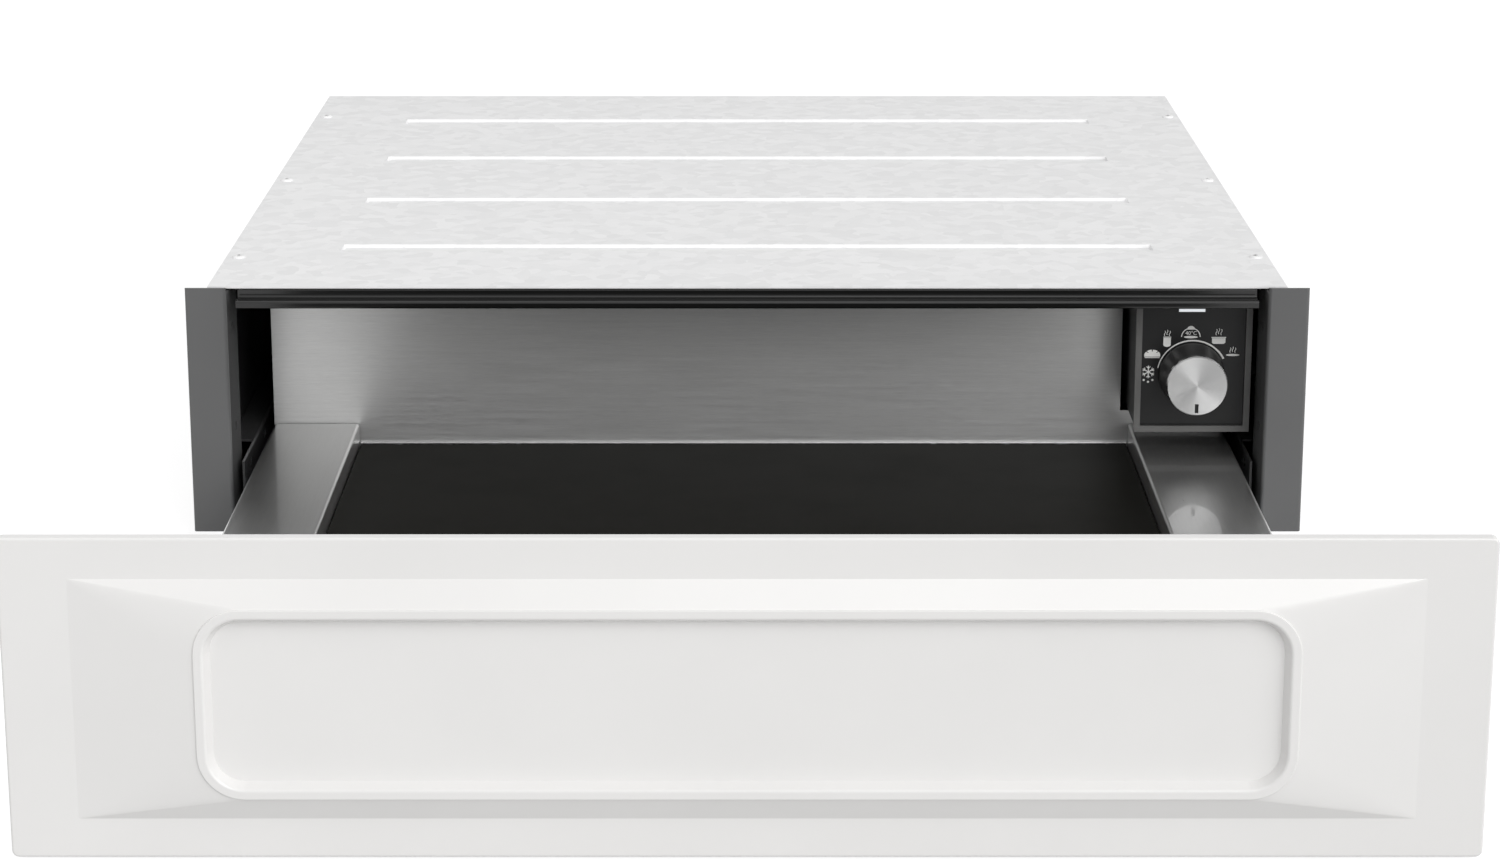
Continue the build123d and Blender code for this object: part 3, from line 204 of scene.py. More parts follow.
def new_group(name, outputs, **inputs):
    """An empty shader node group: a Vector and the given inputs, and outputs that are numbers."""
    group = bpy.data.node_groups.new(name, "ShaderNodeTree")
    for label, default in {"Vector": (0, 0, 0), **inputs}.items():
        label = label.replace("_", " ")
        kind = "NodeSocketVector" if isinstance(default, tuple) else "NodeSocketFloat"
        item = group.interface.new_socket(name=label, in_out="INPUT", socket_type=kind)
        item.default_value = default
    for label in outputs:
        group.interface.new_socket(name=label, in_out="OUTPUT", socket_type="NodeSocketFloat")
    return group, group.nodes.new("NodeGroupInput"), group.nodes.new("NodeGroupOutput")


def put(tree, value, slot):
    """Gives an input a number, or links a socket to it."""
    if isinstance(value, (int, float)):
        slot.default_value = value
    else:
        tree.links.new(value, slot)


def remap(tree, value, low, high, to_low, to_high):
    """A clamped change of range."""
    node = add_node(
        tree, "ShaderNodeMapRange", From_Min=low, From_Max=high, To_Min=to_low, To_Max=to_high,
    )
    tree.links.new(value, node.inputs["Value"])
    return node.outputs["Result"]


def math(tree, operation, first, second):
    """A math node on two sockets or numbers."""
    node = add_node(tree, "ShaderNodeMath", operation=operation)
    for slot, value in zip(node.inputs, (first, second)):
        put(tree, value, slot)
    return node.outputs[0]


def blend(tree, first, second, share):
    """The sum of two values in which the first has the given share."""
    first = math(tree, "MULTIPLY", first, share)
    return math(tree, "ADD", first, math(tree, "MULTIPLY", second, 1 - share))


def noise(tree, vector, scale, detail=3.0, roughness=0.5):
    """A noise texture's value."""
    node = add_node(tree, "ShaderNodeTexNoise", Detail=detail, Roughness=roughness)
    put(tree, scale, node.inputs["Scale"])
    tree.links.new(vector, node.inputs["Vector"])
    return node.outputs["Fac"]


def grain_group():
    """Brushed lines, fine over broad: the vector is stretched along the brushing."""
    group, ins, outs = new_group(
        "Brushed grain", ["Line"], Stretch=(1, 1, 1), Lines_per_metre=2500.0,
    )
    scaled = add_node(group, "ShaderNodeVectorMath", operation="MULTIPLY")
    group.links.new(ins.outputs["Vector"], scaled.inputs[0])
    group.links.new(ins.outputs["Stretch"], scaled.inputs[1])
    lines = ins.outputs["Lines per metre"]
    fine = noise(group, scaled.outputs[0], lines, 4.0, 0.65)
    broad = noise(group, scaled.outputs[0], math(group, "MULTIPLY", lines, 0.16), 2.0)
    line = remap(group, blend(group, fine, broad, 0.7), 0.3, 0.7, 0, 1)
    group.links.new(line, outs.inputs["Line"])


def powder_group():
    """Powder coat: a fine even orange peel over a coarser wave, and slow clouds of tone."""
    group, ins, outs = new_group("Powder coat", ["Height", "Tone"], Grain=1800.0, Wave=260.0)
    place = ins.outputs["Vector"]
    fine = noise(group, place, ins.outputs["Grain"], 2.0)
    wave = noise(group, place, ins.outputs["Wave"], 2.0)
    group.links.new(blend(group, fine, wave, 0.6), outs.inputs["Height"])
    tone = remap(group, noise(group, place, 14.0, 4.0), 0.3, 0.7, 0, 1)
    group.links.new(tone, outs.inputs["Tone"])


def handling_group():
    """Faint smears and dust that change the gloss from place to place."""
    group, ins, outs = new_group("Handling", ["Smear", "Dust"], Amount=1.0)
    for label, scale, detail, roughness, low, high in (
        ("Smear", 22.0, 5.0, 0.6, 0.45, 0.75), ("Dust", 900.0, 3.0, 0.7, 0.62, 0.8),
    ):
        marks = noise(group, ins.outputs["Vector"], scale, detail, roughness)
        marks = remap(group, marks, low, high, 0, 1)
        marks = math(group, "MULTIPLY", marks, ins.outputs["Amount"])
        group.links.new(marks, outs.inputs[label])


def spangle_group():
    """The frost of zinc crystals on galvanised sheet, its cells a little warped."""
    group, ins, outs = new_group("Zinc spangle", ["Tone", "Edge"], Crystals_per_metre=130.0)
    wobble = add_node(group, "ShaderNodeTexNoise", Scale=60.0)
    group.links.new(ins.outputs["Vector"], wobble.inputs["Vector"])
    warp = add_node(group, "ShaderNodeVectorMath", operation="MULTIPLY_ADD")
    warp.inputs[1].default_value = (8 * MM, 8 * MM, 8 * MM)
    group.links.new(wobble.outputs["Color"], warp.inputs[0])
    group.links.new(ins.outputs["Vector"], warp.inputs[2])
    cells = add_node(group, "ShaderNodeTexVoronoi")
    group.links.new(ins.outputs["Crystals per metre"], cells.inputs["Scale"])
    group.links.new(warp.outputs[0], cells.inputs["Vector"])
    split = add_node(group, "ShaderNodeSeparateColor")
    group.links.new(cells.outputs["Color"], split.inputs[0])
    group.links.new(split.outputs[0], outs.inputs["Tone"])
    edge = remap(group, cells.outputs["Distance"], 0.1, 0.7, 0, 1)
    group.links.new(edge, outs.inputs["Edge"])


class Finish:
    """A material under construction: a Principled shader and helpers to feed it."""

    def __init__(self, name, colour, roughness, metallic=0.0, **constants):
        self.material = bpy.data.materials.new(name)
        self.material.use_nodes = True
        self.tree = self.material.node_tree
        self.shader = self.tree.nodes["Principled BSDF"]
        fill(self.shader, Base_Color=colour, Roughness=roughness, Metallic=metallic, **constants)
        self.colour = colour
        self.roughness = roughness
        self.place = add_node(self.tree, "ShaderNodeTexCoord").outputs["Object"]

    def feed(self, value, name):
        """Links a value to an input of the shader."""
        self.tree.links.new(value, self.shader.inputs[name])

    def group(self, name, **values):
        """One of the shared node groups, laid out in the object's own coordinates."""
        shared = bpy.data.node_groups[name]
        node = add_node(self.tree, "ShaderNodeGroup", node_tree=shared, **values)
        self.tree.links.new(self.place, node.inputs["Vector"])
        return node

    def coordinates(self):
        """The object's own X, Y and Z, each by itself."""
        node = add_node(self.tree, "ShaderNodeSeparateXYZ")
        self.tree.links.new(self.place, node.inputs[0])
        return node.outputs

    def mix(self, mask, low, high):
        """A colour that goes from low to high with a mask."""
        node = add_node(self.tree, "ShaderNodeMix", data_type="RGBA")
        node.inputs[6].default_value = low
        node.inputs[7].default_value = high
        self.tree.links.new(mask, node.inputs[0])
        return node.outputs[2]

    def tone(self, mask, darker, lighter):
        """Base colour from a mask, between two multiples of the finish's colour."""
        low, high = (
            [min(part * times, 1) for part in self.colour[:3]] + [1] for times in (darker, lighter)
        )
        self.feed(self.mix(mask, low, high), "Base Color")

    def gloss(self, mask, change):
        """Roughness from a mask, half the change below and half above the finish's own."""
        low, high = self.roughness - change / 2, self.roughness + change / 2
        self.feed(remap(self.tree, mask, 0, 1, low, high), "Roughness")

    def bump(self, height, depth, strength):
        """Relief from a height, with its depth in metres."""
        node = add_node(self.tree, "ShaderNodeBump", Strength=strength, Distance=depth)
        self.tree.links.new(height, node.inputs["Height"])
        self.feed(node.outputs["Normal"], "Normal")

    def comb(self, axis):
        """Lays the stretched highlights round an axis."""
        node = add_node(self.tree, "ShaderNodeTangent", direction_type="RADIAL", axis=axis)
        self.feed(node.outputs[0], "Tangent")


def settings(context):
    """The settings of the stage, the finishes and the dial."""
    return context.scene.warmer_stage, context.scene.warmer_finish, context.scene.warmer_dial


# ---------------------------------------------------------------------------------- finishes
def enamel_finish(colour):
    """White enamel: a soft orange peel under a thin clear coat."""
    finish = Finish("white_enamel", colour, 0.25, Coat_Weight=0.35, Coat_Roughness=0.1)
    coat = finish.group("Powder coat", Grain=520.0, Wave=120.0)
    finish.tone(coat.outputs["Tone"], 0.985, 1.01)
    finish.bump(coat.outputs["Height"], 0.02 * MM, 0.25)
    smear = finish.group("Handling", Amount=0.6)
    finish.gloss(smear.outputs["Smear"], 0.05)
    return finish.material


def coat_finish(name, colour, roughness, **constants):
    """Powder paint with a fine grain and faint smears."""
    finish = Finish(name, colour, roughness, **constants)
    coat = finish.group("Powder coat")
    finish.tone(coat.outputs["Tone"], 0.93, 1.06)
    finish.bump(coat.outputs["Height"], *GRAIN)
    smear = finish.group("Handling", Amount=0.8)
    finish.gloss(smear.outputs["Smear"], 0.08)
    return finish.material


def flange_finish(colour):
    """Dark paint on the flanges, with painted shade on the returns behind their front face, which
    are also duller.
    """
    finish = Finish("dark_paint", colour, 0.58)
    coat = finish.group("Powder coat")
    face = remap(
        finish.tree, finish.coordinates()["Y"], FLANGE_LOW.y + 1 * MM, FLANGE_LOW.y + 3 * MM, 1, 0,
    )
    clouds = remap(finish.tree, coat.outputs["Tone"], 0, 1, 0.86, 1)
    # Painted shade: the returns behind the front face get about a third of the paint's colour.
    finish.tone(math(finish.tree, "MULTIPLY", face, clouds), 0.35, 1.06)
    finish.bump(coat.outputs["Height"], *GRAIN)
    smear = finish.group("Handling", Amount=0.8)
    marks = remap(finish.tree, smear.outputs["Smear"], 0, 1, 0, 0.16)
    behind = math(finish.tree, "SUBTRACT", 1.0, face)
    finish.gloss(math(finish.tree, "MAXIMUM", marks, behind), 0.55)
    return finish.material


def brushed_finish(
    name, colour, roughness, direction, lines=4200.0, relief=0.003 * MM, metallic=1.0, **constants,
):
    """Metal brushed along one direction."""
    stretch, axis = direction
    finish = Finish(name, colour, roughness, metallic, **constants)
    finish.comb(axis)
    grain = finish.group("Brushed grain", Stretch=stretch, Lines_per_metre=lines)
    finish.tone(grain.outputs["Line"], 0.9, 1.1)
    finish.gloss(grain.outputs["Line"], 0.12)
    finish.bump(grain.outputs["Line"], relief, 0.5)
    return finish.material


def galvanised_finish(name, colour, darkest, roughness=0.38, metallic=0.95, **constants):
    """Sheet under a frost of zinc crystals."""
    finish = Finish(name, colour, roughness, metallic, **constants)
    zinc = finish.group("Zinc spangle")
    finish.tone(zinc.outputs["Tone"], darkest, 1.04)
    finish.gloss(zinc.outputs["Edge"], 0.16)
    finish.bump(zinc.outputs["Edge"], 0.01 * MM, 0.2)
    return finish.material


def glass_finish():
    """Nearly black glass with a little dust and smears."""
    finish = Finish("black_glass", (0.0135, 0.0130, 0.0115, 1), 0.35, Specular_IOR_Level=0.008)
    smear = finish.group("Handling")
    finish.tone(smear.outputs["Dust"], 1.0, 1.5)
    finish.gloss(smear.outputs["Smear"], 0.05)
    return finish.material


def plastic_finish(name, colour, roughness=0.42, **constants):
    """Moulded plastic with a fine texture."""
    finish = Finish(name, colour, roughness, **constants)
    coat = finish.group("Powder coat", Grain=2600.0, Wave=600.0)
    finish.tone(coat.outputs["Tone"], 0.94, 1.06)
    finish.bump(coat.outputs["Height"], *GRAIN)
    return finish.material


def spun_finish():
    """Aluminium turned on a lathe: fine rings round the knob's axis."""
    finish = Finish(
        "spun_aluminium", (0.51, 0.51, 0.51, 1), 0.25, 1.0,
        Anisotropic=0.97, Anisotropic_Rotation=0.095,
    )
    centre = add_node(finish.tree, "ShaderNodeMapping", Location=(-KNOB_X, 0, -KNOB_Z))
    finish.tree.links.new(finish.place, centre.inputs["Vector"])
    flat = add_node(finish.tree, "ShaderNodeVectorMath", operation="MULTIPLY")
    flat.inputs[1].default_value = (1, 0, 1)
    finish.tree.links.new(centre.outputs[0], flat.inputs[0])
    length = add_node(finish.tree, "ShaderNodeVectorMath", operation="LENGTH")
    finish.tree.links.new(flat.outputs[0], length.inputs[0])
    rings = add_node(
        finish.tree, "ShaderNodeTexNoise", noise_dimensions="1D", Scale=4200.0, Detail=3.0,
    )
    finish.tree.links.new(length.outputs["Value"], rings.inputs["W"])
    finish.tone(rings.outputs["Fac"], 0.9, 1.1)
    finish.bump(rings.outputs["Fac"], 0.008 * MM, 0.6)
    finish.comb("Y")
    return finish.material


def lens_finish(rim_across=2.0 * MM, rim_up=0.45 * MM):
    """A lit white lens with a painted shadow along its rim, where it sits in the fascia."""
    finish = Finish("white_lens", (0.86, 0.87, 0.88, 1), 0.25, Emission_Strength=0.6)
    low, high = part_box("lamp_lens")
    place = finish.coordinates()
    inward = []
    for axis, near, far, rim in (("X", low.x, high.x, rim_across), ("Z", low.z, high.z, rim_up)):
        off = math(finish.tree, "SUBTRACT", place[axis], (near + far) / 2)
        off = math(finish.tree, "ABSOLUTE", off, 0.0)
        inward.append(math(finish.tree, "SUBTRACT", (far - near) / 2 - rim, off))
    # Painted shadow: near the rim the colour goes almost black and the glow stops.
    lit = remap(finish.tree, math(finish.tree, "MINIMUM", *inward), 0, 0.2 * MM, 0, 1)
    finish.tone(lit, 0.01, 1.0)
    finish.feed(finish.mix(lit, BLACK, (0.9, 0.95, 1.0, 1)), "Emission Color")
    return finish.material


def metal_finish(name, colour, roughness, metallic=1.0):
    """Plain bare metal with handling marks."""
    finish = Finish(name, colour, roughness, metallic)
    smear = finish.group("Handling")
    finish.tone(smear.outputs["Smear"], 1.04, 0.9)
    finish.gloss(smear.outputs["Smear"], 0.12)
    coat = finish.group("Powder coat", Grain=2400.0)
    finish.bump(coat.outputs["Height"], 0.01 * MM, 0.3)
    return finish.material


def wear(nodes, material):
    """Gives CAD nodes their material."""
    for name in nodes:
        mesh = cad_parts[name].data
        mesh.materials.clear()
        mesh.materials.append(material)


# ---------------------------------------------------------------------------------- mesh helpers
def add_object(name, data):
    """A new object in the scene."""
    thing = bpy.data.objects.new(name, data)
    bpy.context.scene.collection.objects.link(thing)
    return thing


def mesh_object(name, work):
    """Turns a bmesh into an object."""
    mesh = bpy.data.meshes.new(name)
    work.to_mesh(mesh)
    work.free()
    return add_object(name, mesh)


def finish_piece(name, work, material, body):
    """Turns a bmesh into a piece that rides on a body."""
    bmesh.ops.remove_doubles(work, verts=work.verts, dist=MERGE)
    bmesh.ops.recalc_face_normals(work, faces=work.faces)
    piece = mesh_object(name, work)
    piece.data.materials.append(material)
    piece.data.shade_smooth()
    piece.data.set_sharp_from_angle(angle=SHARP)
    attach(piece, body)
    return piece


class DialInk:
    """Draws flat shapes, in metres across and up, and lays them on the fascia as raised ink."""

    sunk = 1 / 3  # how much of the ink's height is in the fascia
    hair = 1 / 150  # how much higher, of the ink's height, each shape lies than the last

    def __init__(self, dial):
        self.work = bmesh.new()
        self.height = dial.ink_height
        self.line_width = dial.thin_line
        self.level = -self.height * self.sunk

    def next_level(self):
        """Each shape lies a hair higher than the last, so that crossing ones don't flicker."""
        self.level += self.height * self.hair
        return self.level

    def spot(self, centre, squash=1.0):
        """What carries a shape drawn round the origin to its centre."""
        place = Matrix.Translation((*centre, self.next_level()))
        return place @ Matrix.Diagonal((1, squash, 1, 1))

    def stroke(self, start, end, width=None):
        """A straight line with square ends."""
        a, b = Vector((*start, 0)), Vector((*end, 0))
        turned = Matrix.Rotation(atan2(b.y - a.y, b.x - a.x), 4, "Z")
        size = Matrix.Diagonal(((b - a).length, width or self.line_width, 1, 1))
        middle = (a + b) / 2 + Vector((0, 0, self.next_level()))
        place = Matrix.Translation(middle) @ turned @ size
        bmesh.ops.create_grid(self.work, x_segments=1, y_segments=1, size=0.5, matrix=place)

    def dot(self, centre, radius, squash=1.0):
        """A filled disc or ellipse."""
        place = self.spot(centre, squash)
        bmesh.ops.create_circle(self.work, cap_ends=True, segments=18, radius=radius, matrix=place)

    def sweep(self, centre, near, far, start, end, squash=1.0, steps=12, swell=0.0):
        """What an edge covers as it turns about centre between two angles in degrees.

        A swell makes the far side stand out more and more towards the start.
        """
        known = set(self.work.verts)
        ray = Vector((cos(radians(start)), sin(radians(start)), 0))
        ends = [self.work.verts.new(ray * reach) for reach in (near, far)]
        edge = self.work.edges.new(ends)
        bmesh.ops.spin(
            self.work, geom=[*ends, edge], cent=(0, 0, 0), axis=(0, 0, 1),
            angle=radians(end - start), steps=steps,
        )
        fresh = [vert for vert in self.work.verts if vert not in known]
        for vert in fresh:
            if swell and vert.co.length > (near + far) / 2:
                turned = degrees(atan2(vert.co.y, vert.co.x)) - start
                vert.co *= 1 + swell * (1 - turned / (end - start)) / far
        bmesh.ops.transform(self.work, matrix=self.spot(centre, squash), verts=fresh)

    def arc(self, centre, radius, start, end, width=None, squash=1.0, steps=12, swell=0.0):
        """A line along an arc."""
        half = (width or self.line_width) / 2
        self.sweep(centre, radius - half, radius + half, start, end, squash, steps, swell)

    def steam(self, foot, height):
        """Three wisps that rise from foot, the middle one highest, each of two shallow arcs."""
        bend = 42  # half of an arc's angle, in degrees
        width = self.line_width * 0.75
        radius = height / 4 / sin(radians(bend))
        inset = radius * cos(radians(bend))
        for across, lift in ((-1.3 * MM, 0), (0, 0.5 * MM), (1.3 * MM, 0)):
            x, z = foot[0] + across, foot[1] + lift
            low, high = (x + inset, z + height / 4), (x - inset, z + 3 * height / 4)
            self.arc(low, radius, 180 - bend, 180 + bend, width, steps=6)
            self.arc(high, radius, -bend, bend, width, steps=6)

    def words(self, text, centre, height):
        """A short number, centred."""
        curve = bpy.data.curves.new("dial_number", "FONT")
        curve.body = text
        curve.size = height
        curve.resolution_u = 3
        curve.align_x = "CENTER"
        curve.align_y = "CENTER"
        holder = bpy.data.objects.new("dial_number", curve)
        mesh = bpy.data.meshes.new_from_object(holder)
        mesh.transform(self.spot(centre))
        self.work.from_mesh(mesh)
        bpy.data.objects.remove(holder)
        bpy.data.curves.remove(curve)
        bpy.data.meshes.remove(mesh)

    def lay(self):
        """Gives the print its thickness and stands it upright on the fascia."""
        bmesh.ops.remove_doubles(self.work, verts=self.work.verts, dist=MERGE)
        grown = bmesh.ops.extrude_face_region(self.work, geom=self.work.faces[:])
        lifted = [part for part in grown["geom"] if isinstance(part, bmesh.types.BMVert)]
        bmesh.ops.translate(self.work, verts=lifted, vec=(0, 0, self.height))
        upright = Matrix.Translation((0, FASCIA_LOW.y, 0)) @ Matrix.Rotation(pi / 2, 4, "X")
        bmesh.ops.transform(self.work, matrix=upright, verts=self.work.verts)
        return self.work


def frost(ink, x, z):
    """A six-armed snow crystal over three flakes."""
    centre = Vector((x, z))
    for i in range(6):
        turn = tau * i / 6 + pi / 2
        ray = Vector((cos(turn), sin(turn)))
        ink.stroke(centre, centre + ray * 3.4 * MM, 0.55 * MM)
        joint = centre + ray * 2.0 * MM
        for side in (-1, 1):
            barb = turn + side * radians(48)
            ink.stroke(joint, joint + Vector((cos(barb), sin(barb))) * 1.35 * MM, 0.42 * MM)
    for across, down in ((-2.3, 4.4), (0, 5.4), (2.3, 4.4)):
        ink.dot((x + across * MM, z - down * MM), 0.6 * MM)


def loaf(ink, x, z):
    """A scored loaf over its board."""
    ink.sweep((x, z), 0, 2.9 * MM, 0, 180, squash=0.72)
    for start in (0, 47, 94, 141):
        ink.sweep((x, z), 2.7 * MM, 4.25 * MM, start, start + 39, squash=0.72, steps=5)
    ink.stroke((x - 4.2 * MM, z - 0.3 * MM), (x + 4.2 * MM, z - 0.3 * MM), 0.9 * MM)
    ink.stroke((x - 3.9 * MM, z - 1.25 * MM), (x + 3.9 * MM, z - 1.25 * MM), 0.4 * MM)


def tumbler(ink, x, z):
    """A glass with a rounded foot and steam over it."""
    ink.stroke((x - 2.05 * MM, z + 2.55 * MM), (x + 2.05 * MM, z + 2.55 * MM), 0.45 * MM)
    ink.stroke((x, z + 2.15 * MM), (x, z - 1.6 * MM), 3.9 * MM)
    ink.sweep((x, z - 1.6 * MM), 0, 1.95 * MM, 180, 360, squash=0.6)
    ink.steam((x, z + 3.2 * MM), 2.7 * MM)


def cloche(ink, x, z):
    """A serving dome on its plate, with a temperature in it."""
    ink.arc((x, z), 4.9 * MM, 2, 178, 0.5 * MM, steps=20)
    ink.sweep((x, z + 4.1 * MM), 0, 2.1 * MM, 0, 180, squash=0.95)
    ink.dot((x, z + 0.05 * MM), 3.7 * MM, 0.18)
    ink.words("40\N{DEGREE SIGN}C", (x + 0.1 * MM, z + 2.1 * MM), 2.9 * MM)


def bowl(ink, x, z):
    """A deep bowl with rounded lower corners and steam."""
    ink.stroke((x - 3.85 * MM, z + 1.65 * MM), (x + 3.85 * MM, z + 1.65 * MM), 0.5 * MM)
    ink.stroke((x - 3.55 * MM, z + 0.3 * MM), (x + 3.55 * MM, z + 0.3 * MM), 1.9 * MM)
    ink.stroke((x - 2.35 * MM, z - 1.25 * MM), (x + 2.35 * MM, z - 1.25 * MM), 1.2 * MM)
    for side, start in ((-1, 180), (1, 270)):
        ink.sweep((x + side * 2.35 * MM, z - 0.65 * MM), 0, 1.2 * MM, start, start + 90, steps=5)
    ink.steam((x, z + 2.9 * MM), 3.2 * MM)


def dish(ink, x, z):
    """A flat plate with steam."""
    ink.dot((x, z), 3.6 * MM, 0.17)
    ink.steam((x, z + 1.3 * MM), 2.7 * MM)


# The dial's pictures from cold to warm, and where they stand from the knob's axis, in mm.
PICTURES = (
    (frost, -22.9, 1.4), (loaf, -21.1, 10.45), (tumbler, -13.5, 17.8),
    (cloche, -1.1, 20.3), (bowl, 13.6, 18.5), (dish, 21.2, 10.6),
)


class ScrewMaker:
    """Pan-head screws with a cross recess, in the places of a node of plain CAD screws."""

    # Shares of the head's radius: its flat top and its shank.
    flat, shank = 0.62, 0.48
    # Shares of the flat: how far the recess reaches, and half the width of its arms.
    reach, arm = 0.72, 0.2
    # How deep the recess goes, as a share of the head's height, and how much it narrows.
    deep, taper = 0.7, 0.7
    # The head's side from the flat down: shares of its radius and of its height.
    side = ((0.84, 0.86), (0.96, 0.55), (1, 0.2), (1, 0))
    # Points of the plain screw past this share of its radius belong to its head.
    outer = 0.8

    def __init__(self, node):
        shape = bmesh.new()
        shape.from_mesh(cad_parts[node].data)
        bmesh.ops.remove_doubles(shape, verts=shape.verts, dist=MERGE_CAD)
        left = set(shape.verts)
        self.places = []
        for first in shape.verts:
            if first in left:
                self.places.append(self.measure(self.island(first, left)))
        shape.free()

    def island(self, first, left):
        """The corners of the screw that first belongs to, taken out of left."""
        left.discard(first)
        found, open_ends = [first], [first]
        while open_ends:
            for edge in open_ends.pop().link_edges:
                for vert in edge.verts:
                    if vert in left:
                        left.discard(vert)
                        found.append(vert)
                        open_ends.append(vert)
        return [vert.co.copy() for vert in found]

    def measure(self, points):
        """The seat, direction, head radius, head height and length of one screw."""
        low = Vector([min(point[i] for point in points) for i in range(3)])
        high = Vector([max(point[i] for point in points) for i in range(3)])
        middle, size = (low + high) / 2, high - low
        along = max(
            range(3), key=lambda i: min(abs(size[i] - size[i - 1]), abs(size[i] - size[i - 2])),
        )
        across = [i for i in range(3) if i != along]
        radius = size[across[0]] / 2
        head = [
            point[along] for point in points
            if Vector([point[i] - middle[i] for i in across]).length > self.outer * radius
        ]
        outward, seat = Vector((0, 0, 0)), middle.copy()
        outward[along] = 1 if sum(head) / len(head) > middle[along] else -1
        seat[along] = min(head) if outward[along] > 0 else max(head)
        return seat, outward, radius, max(head) - min(head), size[along]

    def add_screw(self, work, seat, outward, radius, height, length):
        """One screw, made standing on z = 0 and then turned outward on its seat."""
        known = set(work.verts)
        bmesh.ops.create_grid(work, x_segments=5, y_segments=5, size=1.0)
        flat, shank = radius * self.flat, radius * self.shank
        for vert in (vert for vert in work.verts if vert not in known):
            if vert.is_boundary:
                vert.co = vert.co.normalized() * flat
            else:
                vert.co *= flat * self.reach
            vert.co.z = height
        cross = [
            face for face in work.faces
            if not any(vert in known or vert.is_boundary for vert in face.verts)
            and min(abs(part) for part in face.calc_center_median()[:2]) < flat * self.arm
        ]
        sunk = bmesh.ops.extrude_face_region(work, geom=cross)["geom"]
        floor = [part for part in sunk if isinstance(part, bmesh.types.BMVert)]
        bmesh.ops.scale(work, verts=floor, vec=(self.taper, self.taper, 1))
        bmesh.ops.translate(work, verts=floor, vec=(0, 0, -self.deep * height))
        ring = [edge for edge in work.edges if edge.is_boundary]
        head = [(wide * radius, high * height) for wide, high in self.side]
        for reach, level in (*head, (shank, 0), (shank, height - length)):
            grown = bmesh.ops.extrude_edge_only(work, edges=ring)["geom"]
            ring = [part for part in grown if isinstance(part, bmesh.types.BMEdge)]
            for vert in (part for part in grown if isinstance(part, bmesh.types.BMVert)):
                vert.co = Vector((vert.co.x, vert.co.y, 0)).normalized() * reach
                vert.co.z = level
        bmesh.ops.holes_fill(work, edges=ring)
        stand = Matrix.Translation(seat) @ outward.to_track_quat("Z", "X").to_matrix().to_4x4()
        made = [vert for vert in work.verts if vert not in known]
        bmesh.ops.transform(work, matrix=stand, verts=made)

    def make(self):
        """All the screws of the node in one mesh."""
        work = bmesh.new()
        for place in self.places:
            self.add_screw(work, *place)
        return work


# ---------------------------------------------------------------------------------- stage helpers
def seen_directly(tree):
    """1 for rays from the camera, off mirroring faces and through glass, else 0."""
    path = add_node(tree, "ShaderNodeLightPath")
    seen = math(tree, "MAXIMUM", path.outputs["Is Camera Ray"], path.outputs["Is Glossy Ray"])
    return math(tree, "MAXIMUM", seen, path.outputs["Is Transmission Ray"])


def make_world(strength):
    """A world that looks white and lights the part with a strength of its own."""
    world = bpy.data.worlds.new("studio")
    world.use_nodes = True
    tree = world.node_tree
    back = fill(tree.nodes["Background"], Color=WHITE)
    tree.links.new(remap(tree, seen_directly(tree), 0, 1, strength, 1.0), back.inputs["Strength"])
    bpy.context.scene.world = world


def make_floor(white):
    """A floor of paper that glows for the camera, to look as white as the world."""
    work = bmesh.new()
    bmesh.ops.create_grid(work, x_segments=2, y_segments=2, size=FLOOR_REACH)
    floor = mesh_object("floor", work)
    floor.location.z = -FLOOR_DROP
    material = bpy.data.materials.new("floor_paper")
    material.use_nodes = True
    tree = material.node_tree
    shader = fill(
        tree.nodes["Principled BSDF"], Base_Color=(0.5, 0.5, 0.5, 1), Roughness=0.9,
        Specular_IOR_Level=0.0, Emission_Color=WHITE,
    )
    glow = math(tree, "MULTIPLY", seen_directly(tree), white)
    tree.links.new(glow, shader.inputs["Emission Strength"])
    floor.data.materials.append(material)


def make_key(strength):
    """The broad key light, a sun."""
    sun = bpy.data.lights.new("key_light", "SUN")
    sun.energy = strength
    sun.angle = KEY_SPREAD
    key = add_object("key_light", sun)
    key.rotation_euler = Vector(KEY_WAY).to_track_quat("Z", "Y").to_euler()


def make_lamp(name, power, size, place, aim):
    """A soft rectangular lamp that points at a place."""
    light = bpy.data.lights.new(name, "AREA")
    light.shape = "RECTANGLE"
    light.size, light.size_y = size
    light.energy = power
    lamp = add_object(name, light)
    lamp.location = place
    lamp.rotation_euler = (Vector(aim) - Vector(place)).to_track_quat("-Z", "Y").to_euler()


def make_camera(stage):
    """The camera of the main view."""
    view = bpy.data.cameras.new("camera")
    view.sensor_width = 36.0
    view.lens = stage.lens
    view.shift_x = stage.shift_x
    view.shift_y = stage.shift_y
    view.clip_start = 10 * MM
    camera = add_object("camera", view)
    camera.location = (0, -stage.camera_back, stage.camera_height)
    camera.rotation_euler = (pi / 2 - stage.camera_pitch, 0, 0)
    bpy.context.scene.camera = camera


# ---------------------------------------------------------------------------------- operators
class WARMER_OT_groups(bpy.types.Operator):
    """Builds the shader node groups that the finishes share"""

    bl_idname = "warmer.groups"
    bl_label = "Build surface effects"

    def execute(self, context):
        for build in (grain_group, powder_group, handling_group, spangle_group):
            build()
        return {"FINISHED"}


class WARMER_OT_front(bpy.types.Operator):
    """Finishes the enamelled front"""

    bl_idname = "warmer.front"
    bl_label = "Front panel"

    def execute(self, context):
        _, finish, _ = settings(context)
        wear(["front_panel"], enamel_finish(finish.enamel[:]))
        wear(["front_bumpers"], plastic_finish("bumper_rubber", (0.03, 0.03, 0.03, 1), 0.6))
        pan = coat_finish("coated_pan", (0.16, 0.16, 0.165, 1), 0.4)
        wear(["front_carrier", "drawer_pan"], pan)
        return {"FINISHED"}


